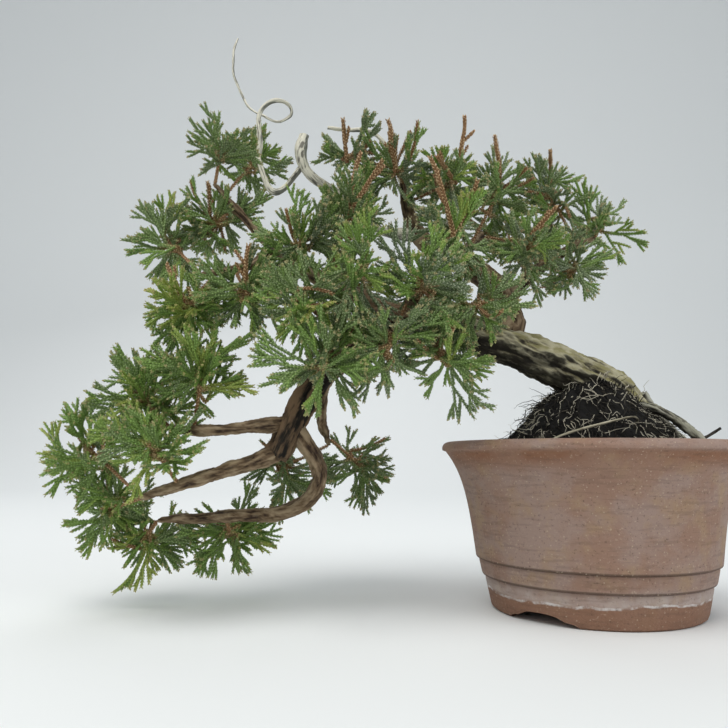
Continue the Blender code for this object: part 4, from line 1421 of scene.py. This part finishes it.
    def grow_finger(self, middle: Vector, foot: Vector, tip: Vector, hue: float, look: ShootLook,
                    chance: random.Random) -> None:
        """Grows one fan, from the core out to the tip of a finger.

        Args:
            middle: middle of the spray's core.
            foot: foot of the spray's stem.
            tip: where the finger ends.
            hue: the fan's hue.
            look: colouring of this part of the tree.
            chance: source of the random draws.
        """
        axis = tip - middle
        length = axis.length * chance.uniform(*self.FINGER_REACH)
        length += chance.uniform(0.0, 1.0) * self.overhang
        heading = axis.normalized()
        base = middle.lerp(foot, chance.uniform(0.0, self.STEM_SHARE))
        start = base + random_side(heading, chance) * chance.uniform(*self.START_ASIDE_MM) * MM
        sway = random_side(heading, chance) * chance.uniform(*self.SWAY)
        sway += Vector((0.0, 0.0, self.LIFT * chance.uniform(*self.LIFT_SHARE)))
        first = (heading - sway).normalized()
        flat = heading.cross(random_side(heading, chance)).normalized()
        age = 1.0 if chance.random() < look.brown * self.BROWN_SHARE else self.FOOT_AGE
        points = [base, *self.trace(start, first, length, sway * 2.0, chance)]
        self.shoots.append(Shoot(points, self.radius * self.FINGER_WIDTH, hue, age))
        gap = chance.uniform(*self.fork_gap)
        travelled, side = length * self.FIRST_FORK, chance.choice((-1, 1))
        while travelled < (len(points) - 2) * self.step:
            index = int(travelled / self.step)
            along = (points[index + 1] - points[index]).normalized()
            rest = max(0.0, length - travelled)
            reach = rest * chance.uniform(*self.FORK_REACH)
            reach += chance.uniform(*self.FORK_EXTRA_MM) * MM
            self.grow_fork(points[index], along, flat, side, reach, hue, 1, chance)
            side = -side
            travelled += gap
            gap = chance.uniform(*self.fork_gap)
            flat = (flat + random_side(along, chance) * self.FAN_TWIST).normalized()

    def grow_fork(self, start: Vector, along: Vector, flat: Vector, side: int, length: float,
                  hue: float, order: int, chance: random.Random) -> None:
        """Grows a side shoot that leaves at an angle and bends forwards again.

        Args:
            start: where it leaves.
            along: heading of the shoot that bears it.
            flat: normal of the fan.
            side: 1 or -1, the side it leaves on.
            length: how long it would like to be.
            hue: hue of the shoot that bears it.
            order: 1 for a fork of the main shoot, 2 for a fork of that.
            chance: source of the random draws.
        """
        angle = chance.uniform(*self.fork_angle)
        out = flat.cross(along).normalized() * side
        out = (out + flat * chance.uniform(*self.FORK_TILT)).normalized()
        heading = (along * math.cos(angle) + out * math.sin(angle)).normalized()
        bend = (along - out * self.FORK_BEND_OUT) * self.FORK_BEND
        points = self.trace(start, heading, length, bend, chance)
        if len(points) < 3:
            return
        tint = min(1.0, max(0.0, hue + chance.gauss(0.0, self.HUE_STRAY)))
        width = self.radius * chance.uniform(*self.FORK_WIDTH)
        self.shoots.append(Shoot(points, width, tint, 0.0))
        if order > self.DEEPEST_FORK or length < self.FORK_LEAST:
            return
        for share in self.TWIGS if length > self.FORK_TWICE else self.ONE_TWIG:
            index = int(share * (len(points) - 1))
            onward = (points[index + 1] - points[index]).normalized()
            reach = length * (1.0 - share) * chance.uniform(*self.TWIG_REACH)
            reach += chance.uniform(*self.TWIG_EXTRA_MM) * MM
            side = -side
            self.grow_fork(points[index], onward, flat, side, reach, tint, order + 1, chance)

    def trace(self, start: Vector, heading: Vector, length: float, bend: Vector,
              chance: random.Random) -> list[Vector]:
        """Points of a shoot that bends as it grows and stops at the edge of its room.

        Args:
            start: first point.
            heading: first direction.
            length: how long it would like to be.
            bend: direction that it turns towards, over its length.
            chance: source of the small sways.

        Returns:
            The points, at least one.
        """
        points, count = [start], max(2, int(length / self.step))
        for _ in range(count):
            sway = random_side(heading, chance) * self.SMALL_SWAY
            heading = (heading + bend / count + sway).normalized()
            place = points[-1] + heading * self.step
            if not self.room.holds(place):
                break
            points.append(place)
        return points

    def seedling(self) -> bpy.types.Mesh:
        """Mesh of every shoot's line, with its radius and colouring.

        Returns:
            The mesh.
        """
        lines, radii, hues, ages, reaches = [], [], [], [], []
        for shoot in self.shoots:
            if len(shoot.points) < 2:
                continue
            line = np.array([tuple(p) for p in shoot.points])
            share = np.linspace(0.0, 1.0, len(line))
            lines.append(line)
            radii.append(shoot.radius * (1.0 - self.TIP_TAPER * share ** 3))
            hues.append(np.full(len(line), shoot.hue))
            fading = np.clip(shoot.old * (1.0 - self.AGE_FADING * share), 0.0, 1.0) * self.AGE_GAIN
            ages.append(np.ones(len(line)) if shoot.old >= 1.0 else fading)
            reaches.append(share)
        return polyline_mesh(self.node + "_lines", lines, {
            "shoot_radius": radii, "hue": hues, "age": ages, "reach": reaches})


def random_side(heading: Vector, chance: random.Random) -> Vector:
    """Random unit vector square to a heading.

    Args:
        heading: a unit vector.
        chance: source of the random draws.

    Returns:
        The vector.
    """
    while True:
        trial = Vector((chance.gauss(0, 1), chance.gauss(0, 1), chance.gauss(0, 1)))
        side = trial - heading * trial.dot(heading)
        if side.length > 0.1:
            return side.normalized()


def scale_pair() -> bpy.types.Object:
    """Two opposite scale leaves round a shoot of radius 1, each a folded, pointed plate.

    Returns:
        The object to place on the shoots.
    """
    corners, faces, edge = [], [], []
    for side in (1.0, -1.0):
        first = len(corners)
        corners += [(side * 0.55, 0.0, -0.20), (side * 0.60, 0.66, 0.45), (side * 1.02, 0.0, 0.55),
                    (side * 0.60, -0.66, 0.45), (side * 1.00, 0.0, 1.30)]
        # edge runs from 0 at the base to 1 at the tip; the leaf material paints highlight by it
        edge += [0.0, 0.45, 0.15, 0.45, 1.0]
        base, left, ridge, right, tip = range(first, first + 5)
        loops = [(base, ridge, left), (base, right, ridge), (left, ridge, tip),
                 (ridge, right, tip), (base, left, tip), (base, tip, right)]
        faces += [loop if side > 0 else loop[::-1] for loop in loops]
    mesh = bpy.data.meshes.new("scale_pair")
    mesh.from_pydata(corners, [], faces)
    layer = mesh.attributes.new("edge", "FLOAT", "POINT")
    layer.data.foreach_set("value", edge)
    return placed("scale_pair", mesh)


def shoot_tree() -> GrowthTree:
    """Tree that clothes shoot lines in pairs of scale leaves, each pair a quarter turn on.

    Returns:
        The tree.
    """
    tree = GrowthTree("shoots", {"Pitch": 0.00075, "Core": 0.62, "Leaves": "NodeSocketObject",
                                 "Material": "NodeSocketMaterial"})
    given = tree.given
    line = tree.one("GeometryNodeMeshToCurve", {0: given["Geometry"]})
    fine = tree.resampled(line, given["Pitch"])
    index = tree.add("GeometryNodeSplineParameter").outputs["Index"]
    turn = tree.times(tree.math("MODULO", index, 2.0), math.pi / 2)
    fine = tree.store(fine, "turn", turn)
    upright = tree.one("FunctionNodeAxesToRotation", {
        0: tree.one("GeometryNodeInputTangent"), 1: tree.one("GeometryNodeInputNormal")},
        primary_axis="Z", secondary_axis="X")
    jitter = tree.plus(tree.named("turn"), tree.chance(-0.22, 0.22, 3))
    quarter = tree.one("FunctionNodeAxisAngleToRotation", {"Axis": (0.0, 0.0, 1.0),
                                                           "Angle": jitter})
    turned = tree.one("FunctionNodeRotateRotation", {0: upright, 1: quarter},
                      rotation_space="LOCAL")
    size = tree.times(tree.named("shoot_radius"), tree.chance(0.90, 1.14, 5))
    leaves = tree.add("GeometryNodeObjectInfo", {"Object": given["Leaves"]}).outputs["Geometry"]
    clothed = tree.strewn(fine, leaves, turned, size)
    coarse = tree.resampled(line, tree.times(given["Pitch"], 2.6))
    width = tree.times(tree.named("shoot_radius"), given["Core"])
    tree.finish(clothed, tree.swept(coarse, tree.ring(5), width))
    return tree


@dataclass
class Foliage:
    """All the tufts."""

    finish: ScaleLeaves = ScaleLeaves("scale_leaves")

    def build(self) -> None:
        """Grows one piece for each spray of the frame."""
        tree, leaves, room = shoot_tree(), scale_pair(), Room.from_frame()
        nodes = sorted(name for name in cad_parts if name.startswith("spray_"))
        cores = [Tuft(node, room).read_fingers()[0] for node in nodes]
        for node in nodes:
            tuft = Tuft(node, room, cores)
            tuft.grow(random.Random(node))
            piece = tree.grow(node.replace("spray", "foliage"), tuft.seedling(),
                              self.finish.material(), Leaves=leaves, Pitch=0.50 * MM)
            hand_over(piece, "foliage", node)
        bpy.data.objects.remove(leaves)


# ---------------------------------------------------------------- pot

@dataclass
class Pot:
    """Round flared pot with a rounded lip, two steps and cloud-shaped cut-outs in its foot."""

    wall: float = 0.0042
    foot_radius: float = 0.0318
    lip_band: float = 0.0027
    lip_overhang: float = 0.0009
    lip_rounding: float = 0.0022
    body_over_foot: float = 0.0046
    step_depth: float = 0.0007
    upper_step: float = 0.0152
    lower_step: float = 0.0100
    foot_band_flare: float = 0.0021
    middle_band_flare: float = 0.0011
    foot_recess: float = 0.0038
    foot_ring: float = 0.0052
    floor_thickness: float = 0.0042
    drain_radius: float = 0.0062
    segments: int = 176
    wobble: float = 0.00010
    cloud_half_width: float = 0.0110
    cloud_arch: float = 0.0062
    cloud_height: float = 0.0031
    cloud_shoulder: float = 0.0015
    cloud_first: float = math.radians(-136.0)
    cloud_count: int = 3
    flare_shares: tuple[float, float, float] = (0.42, 0.16, 0.42)
    wall_swell: float = 0.0012
    floor_rounding: float = 0.003

    def __post_init__(self) -> None:
        """Takes the pot's place, height and width from the frame."""
        low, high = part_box("pot")
        self.centre = Vector(((low.x + high.x) / 2, (low.y + high.y) / 2, 0.0))
        self.height = high.z
        self.rim = (high.x - low.x) / 2

    @property
    def floor(self) -> float:
        """Height of the floor's upper side."""
        return self.foot_recess + self.floor_thickness

    def wall_radius(self, height: float) -> float:
        """Radius of the outer wall at a height under the lip.

        Args:
            height: height over the foot.

        Returns:
            The radius.
        """
        if height < self.lower_step:
            return self.foot_radius + self.foot_band_flare * height / self.lower_step
        if height < self.upper_step:
            rise = (height - self.lower_step) / (self.upper_step - self.lower_step)
            start = self.foot_radius + self.foot_band_flare + self.step_depth
            return start + self.middle_band_flare * rise
        rise = (height - self.upper_step) / (self.height - self.lip_band - self.upper_step)
        base = self.foot_radius + self.body_over_foot
        even, bowed, steep = self.flare_shares
        flare = even * rise + bowed * rise ** 2 + steep * rise ** 5
        return base + (self.rim - self.lip_overhang - base) * flare

    def inner_radius(self, height: float) -> float:
        """Radius of the inner wall at a height.

        Args:
            height: height over the foot.

        Returns:
            The radius.
        """
        rise = (height - self.floor) / (self.height - self.floor)
        base = self.foot_radius - self.wall + self.wall_swell
        mouth = self.rim - self.wall - self.wall_swell
        return base + (mouth - base) * (0.75 * rise + 0.25 * rise ** 3)

    def profile(self) -> list[tuple[float, float]]:
        """Closed outline, down the outer side and up the inner one.

        Returns:
            Radius and height of each point.
        """
        top, lip_low, floor = self.height, self.height - self.lip_band, self.floor
        points = []
        for angle in range(90, -21, -10):
            turn = math.radians(angle)
            points.append((self.rim - self.lip_rounding * (1.0 - math.cos(turn)),
                           top - 0.9 * self.lip_rounding * (1.0 - math.sin(turn))))
        for row in range(25):
            height = lip_low - 0.0003 + (self.upper_step - lip_low + 0.0003) * row / 24
            points.append((self.wall_radius(height), height))
        for step in (self.upper_step, self.lower_step):
            over = self.wall_radius(step)
            under = self.wall_radius(step - 0.0001)
            points[-1] = (over, step + 0.0002)
            points += [(over - 0.0001, step), (under - 0.0003, step - 0.00015)]
            bottom = self.lower_step if step == self.upper_step else 0.0012
            for row in range(1, 7):
                height = step - 0.0005 + (bottom - step + 0.0005) * row / 6
                points.append((self.wall_radius(height), height))
        points += [
            (self.foot_radius + 0.0001, 0.0006), (self.foot_radius - 0.0007, 0.0),
            (self.foot_radius - self.foot_ring, 0.0),
            (self.foot_radius - self.foot_ring - 0.0006, self.foot_recess),
            (self.drain_radius, self.foot_recess), (self.drain_radius, floor),
            (self.inner_radius(floor) - self.floor_rounding, floor),
            (self.inner_radius(floor + self.floor_rounding), floor + self.floor_rounding),
        ]
        for row in range(1, 9):
            height = floor + self.floor_rounding + (top - floor - 0.0045) * row / 8
            points.append((self.inner_radius(height), height))
        points.append((self.inner_radius(top) + 0.0005, top - 0.0005))
        return points

    def cloud(self, index: int) -> bpy.types.Object:
        """Cutter for one cut-out: a flat arch with a lower shoulder on each side.

        Args:
            index: which of the cut-outs.

        Returns:
            The cutter, in its place.
        """
        outline = [(-self.cloud_half_width, -0.001)]
        shoulder = self.cloud_half_width - self.cloud_arch
        for angle in range(180, 90, -15):
            turn = math.radians(angle)
            outline.append((-self.cloud_arch + shoulder * math.cos(turn),
                            self.cloud_shoulder * math.sin(turn)))
        for angle in range(160, 19, -10):
            turn = math.radians(angle)
            rise = (self.cloud_height - self.cloud_shoulder) * math.sin(turn) ** 0.7
            outline.append((self.cloud_arch * math.cos(turn), self.cloud_shoulder + rise))
        for angle in range(75, -1, -15):
            turn = math.radians(angle)
            outline.append((self.cloud_arch + shoulder * math.cos(turn),
                            self.cloud_shoulder * math.sin(turn)))
        outline.append((self.cloud_half_width, -0.001))
        cage = bmesh.new()
        near, far = self.foot_radius - 1.6 * self.foot_ring, self.foot_radius + self.foot_ring
        rings = [[cage.verts.new((reach, across, rise)) for across, rise in outline]
                 for reach in (near, far)]
        cage.faces.new(rings[0])
        cage.faces.new(rings[1][::-1])
        for step in range(len(outline)):
            after = (step + 1) % len(outline)
            cage.faces.new((rings[0][step], rings[1][step], rings[1][after], rings[0][after]))
        bmesh.ops.recalc_face_normals(cage, faces=cage.faces)
        turn = self.cloud_first + index * 2 * math.pi / self.cloud_count
        cage.transform(Matrix.Translation(self.centre) @ Matrix.Rotation(turn, 4, "Z"))
        return placed("cloud_cutter", mesh_of(cage, "cloud_cutter"))

    def build(self) -> None:
        """Turns the pot, cuts its foot and dresses it."""
        mesh = turned_mesh("pot_body", self.profile(), self.segments, self.centre, self.wobble)
        blank = placed("pot_blank", mesh)
        cutters = [self.cloud(index) for index in range(self.cloud_count)]
        for cutter in cutters:
            cut = blank.modifiers.new("cut", "BOOLEAN")
            cut.operation, cut.solver, cut.object = "DIFFERENCE", "EXACT", cutter
        body = evaluated(blank)
        for scrap in [blank, *cutters]:
            bpy.data.objects.remove(scrap)
        body.shade_smooth()
        body.set_sharp_from_angle(angle=math.radians(38.0))
        finish = Stoneware("unglazed_clay", centre=tuple(self.centre), height=self.height)
        hand_over(make_piece("pot_body", body, finish.material()), "stoneware", "pot")


# ---------------------------------------------------------------- soil, roots, drainage

def pebble(seed: int) -> bpy.types.Object:
    """One angular grain of radius 1.

    Args:
        seed: fixes the grain's shape.

    Returns:
        The grain.
    """
    cage = bmesh.new()
    bmesh.ops.create_icosphere(cage, subdivisions=1, radius=1.0)
    chance = random.Random(seed)
    for vertex in cage.verts:
        vertex.co *= chance.uniform(0.72, 1.12)
        vertex.co.z *= 0.8
    return placed("pebble", mesh_of(cage, "pebble"))


def grain_tree() -> GrowthTree:
    """Tree that strews grains over a surface, each with a tone of its own.

    Returns:
        The tree.
    """
    tree = GrowthTree("grains", {"Density": 100000.0, "Least": 0.0006, "Most": 0.0014, "Seed": 7,
                                 "Grain": "NodeSocketObject", "Material": "NodeSocketMaterial"})
    given = tree.given
    points = tree.one("GeometryNodeDistributePointsOnFaces", {
        "Mesh": given["Geometry"], "Density": given["Density"], "Seed": given["Seed"]})
    points = tree.store(points, "tone", tree.chance(0.0, 1.0, 11))
    size = tree.chance(given["Least"], given["Most"], 5)
    grain = tree.add("GeometryNodeObjectInfo", {"Object": given["Grain"]}).outputs["Geometry"]
    tree.finish(tree.strewn(points, grain, tree.chance_vector(0.0, 6.28, 2), size),
                given["Geometry"])
    return tree


def fibre_tree() -> GrowthTree:
    """Tree that grows fine wandering roots out of a surface.

    Returns:
        The tree.
    """
    tree = GrowthTree("fibres", {"Density": 200000.0, "Length": 0.009, "Thickness": 0.00013,
                                 "Roughness": 0.003, "Wander": 0.004, "Drop": 0.6, "Seed": 3,
                                 "Material": "NodeSocketMaterial"})
    given = tree.given
    lumps = tree.noise(tree.one("GeometryNodeInputPosition"), 240.0, 4.0, 0.65)
    push = tree.times(tree.minus(lumps, 0.55), given["Roughness"])
    mound = tree.moved(given["Geometry"], tree.outwards(push))
    spread = tree.add("GeometryNodeDistributePointsOnFaces", {
        "Mesh": mound, "Density": given["Density"], "Seed": given["Seed"]})
    points = tree.store(spread.outputs[0], "tone", tree.chance(0.0, 1.0, 21))
    strand = tree.one("GeometryNodeCurvePrimitiveLine", {
        "Start": (0.0, 0.0, -0.25), "End": (0.0, 0.0, 0.75)}, mode="POINTS")
    strand = tree.one("GeometryNodeResampleCurve", {"Curve": strand, "Count": 9}, mode="COUNT")
    down = tree.one("ShaderNodeCombineXYZ", {2: tree.times(given["Drop"], -1.0)})
    stray = tree.vector("ADD", spread.outputs["Normal"], tree.chance_vector(-1.0, 1.0, 4))
    rotation = tree.one("FunctionNodeAlignRotationToVector",
                        {"Vector": tree.vector("ADD", stray, down)}, axis="Z")
    length = tree.times(given["Length"], tree.chance(0.4, 1.3, 9))
    tangle = tree.strewn(points, strand, rotation, length)
    real = tree.one("GeometryNodeRealizeInstances", {0: tangle})
    shift = tree.one("ShaderNodeCombineXYZ", {0: tree.times(tree.named("tone"), 0.05)})
    place = tree.vector("ADD", tree.one("GeometryNodeInputPosition"), shift)
    drift = tree.add("ShaderNodeTexNoise", {"Vector": place, "Scale": 170.0,
                                            "Detail": 2.0}).outputs["Color"]
    drift = tree.vector("SUBTRACT", drift, (0.5, 0.5, 0.5))
    real = tree.moved(real, tree.scaled(drift, given["Wander"]))
    share = tree.add("GeometryNodeSplineParameter").outputs["Factor"]
    width = tree.times(given["Thickness"], tree.minus(1.25, tree.times(share, 0.95)))
    tree.finish(tree.swept(real, tree.ring(4), width), mound)
    return tree


@dataclass
class Ground:
    """Soil, root mat, drain screen and clip."""

    soil_finish: Grit = Grit("soil_grit", dark=(0.030, 0.023, 0.016), light=(0.150, 0.112, 0.076))
    mat_finish: Grit = Grit("root_fibre", dark=(0.004, 0.0035, 0.003), light=(0.040, 0.034, 0.024),
                            pale=(0.560, 0.520, 0.410), pale_from=0.72)

    def build(self) -> None:
        """Builds the soil's grains and the mat's fibres, and dresses the drain parts."""
        self.build_soil()
        self.build_mat()
        for node, finish in (("drain_screen", Moulded("screen_plastic")),
                             ("screen_clip", DrawnWire("clip_wire"))):
            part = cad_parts[node]
            part.data.materials.clear()
            part.data.materials.append(finish.material())
            LOG.info("%s dressed in %s", node, finish.name)

    def build_soil(self) -> None:
        """Soil: the frame's own fill, strewn with grains on top."""
        low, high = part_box("soil")
        cage = welded("soil")
        lid = [face for face in cage.faces if face.normal.z > 0.8]
        bmesh.ops.subdivide_edges(cage, edges=list({e for f in lid for e in f.edges}), cuts=2,
                                  use_grid_fill=True)
        body = make_piece("soil_fill", mesh_of(cage, "soil_fill"), self.soil_finish.material())
        hand_over(body, "soil", "soil")
        middle, radius = (low + high) / 2, (high.x - low.x) / 2
        bed = turned_mesh("soil_bed", [(0.0, 0.00005), (radius * 0.5, -0.0002),
                                       (radius * 0.985, -0.0010), (radius * 0.985, -0.0016),
                                       (0.0, -0.0016)],
                          64, Vector((middle.x, middle.y, high.z)))
        grain = pebble(3)
        grains = grain_tree().grow("soil_grains", bed, self.soil_finish.material(), Grain=grain,
                                   Density=300000.0, Least=0.5 * MM, Most=1.25 * MM)
        bpy.data.objects.remove(grain)
        hand_over(grains, "soil")

    def build_mat(self) -> None:
        """Root mat: a ragged mound grown over with fine roots."""
        cage = welded("root_mat")
        bmesh.ops.subdivide_edges(cage, edges=cage.edges, cuts=3, use_grid_fill=True)
        piece = fibre_tree().grow("root_tangle", mesh_of(cage, "root_mound"),
                                  self.mat_finish.material(), Density=420000.0, Length=9.0 * MM,
                                  Wander=7.0 * MM, Drop=1.3, Roughness=7.0 * MM)
        hand_over(piece, "root_mat", "root_mat")


# ---------------------------------------------------------------- studio

@dataclass
class Studio:
    """Floor, backdrop, lights and camera."""

    camera_from_pot: Vector = field(default_factory=lambda: Vector((-0.07217, -0.22343, 0.04471)))
    pitch: float = 0.1393
    roll: float = 0.0047
    lens: float = 34.29
    target: Vector = field(default_factory=lambda: Vector((0.0, 0.0, 0.09)))

    def build(self) -> None:
        """Sets the whole studio."""
        low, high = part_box("pot")
        self.pot = Vector(((low.x + high.x) / 2, (low.y + high.y) / 2, 0.0))
        self.build_backdrop()
        self.build_camera()
        self.build_lights()

    def build_camera(self) -> None:
        """Camera in front of the tree, tipped up a little."""
        data = bpy.data.cameras.new("camera")
        data.lens = self.lens
        data.sensor_width = 36.0
        data.clip_start = 0.005
        camera = placed("camera", data)
        tip = Matrix.Rotation(math.pi / 2 + self.pitch, 4, "X")
        camera.matrix_world = (Matrix.Translation(self.pot + self.camera_from_pot) @ tip
                               @ Matrix.Rotation(self.roll, 4, "Z"))
        bpy.context.scene.camera = camera

    def build_backdrop(self) -> None:
        """Pale floor that sweeps up into a backdrop far behind."""
        cage = bmesh.new()
        width, near, back, sweep, top = 3.0, -1.5, 1.2, 0.5, 2.4
        outline = [(near, 0.0), (back - sweep, 0.0)]
        for step in range(1, 17):
            turn = math.pi / 2 * step / 16
            outline.append((back - sweep + sweep * math.sin(turn), sweep * (1 - math.cos(turn))))
        outline.append((back, top))
        rows = [[cage.verts.new((side * width, y, z)) for side in (-1, 1)] for y, z in outline]
        for lower, upper in zip(rows, rows[1:]):
            cage.faces.new((lower[0], lower[1], upper[1], upper[0]))
        mesh = mesh_of(cage, "backdrop")
        mesh.shade_smooth()
        material = bpy.data.materials.new("backdrop_paper")
        material.use_nodes = True
        shader = material.node_tree.nodes["Principled BSDF"]
        shader.inputs["Base Color"].default_value = (0.87, 0.89, 0.89, 1.0)
        shader.inputs["Roughness"].default_value = 0.9
        shader.inputs["Specular IOR Level"].default_value = 0.1
        make_piece("backdrop", mesh, material)

    def add_area(self, name: str, place: Vector, size: float, power: float,
                 colour: Colour) -> None:
        """Soft square light aimed at the middle of the tree.

        Args:
            name: the light's name.
            place: where it stands.
            size: length of its side.
            power: its power in watts.
            colour: its colour.
        """
        data = bpy.data.lights.new(name, "AREA")
        data.shape, data.size, data.energy, data.color = "SQUARE", size, power, colour
        light = placed(name, data)
        aim = (self.target - place).to_track_quat("-Z", "Y").to_matrix().to_4x4()
        light.matrix_world = Matrix.Translation(place) @ aim

    def build_lights(self) -> None:
        """Soft key from above, weaker fills from both sides, and a pale room."""
        self.add_area("key_light", Vector((-0.25, -0.45, 0.95)), 0.7, 6.2, (1.0, 0.98, 0.95))
        self.add_area("fill_light", Vector((0.80, -0.55, 0.45)), 0.6, 2.4, (0.97, 0.98, 1.0))
        self.add_area("back_light", Vector((-0.2, 0.75, 0.85)), 0.9, 2.6, (1.0, 1.0, 1.0))
        world = bpy.data.worlds.new("room")
        world.use_nodes = True
        shade = world.node_tree.nodes["Background"]
        shade.inputs["Color"].default_value = (0.86, 0.90, 0.93, 1.0)
        shade.inputs["Strength"].default_value = 0.50
        bpy.context.scene.world = world
        bpy.context.scene.view_settings.view_transform = "Standard"


def main() -> None:
    """Builds everything in order."""
    logging.basicConfig(level=logging.INFO, format="%(message)s", stream=sys.stdout)
    Pot().build()
    Ground().build()
    Wood().build()
    Foliage().build()
    Studio().build()


if __name__ == "__main__":
    main()
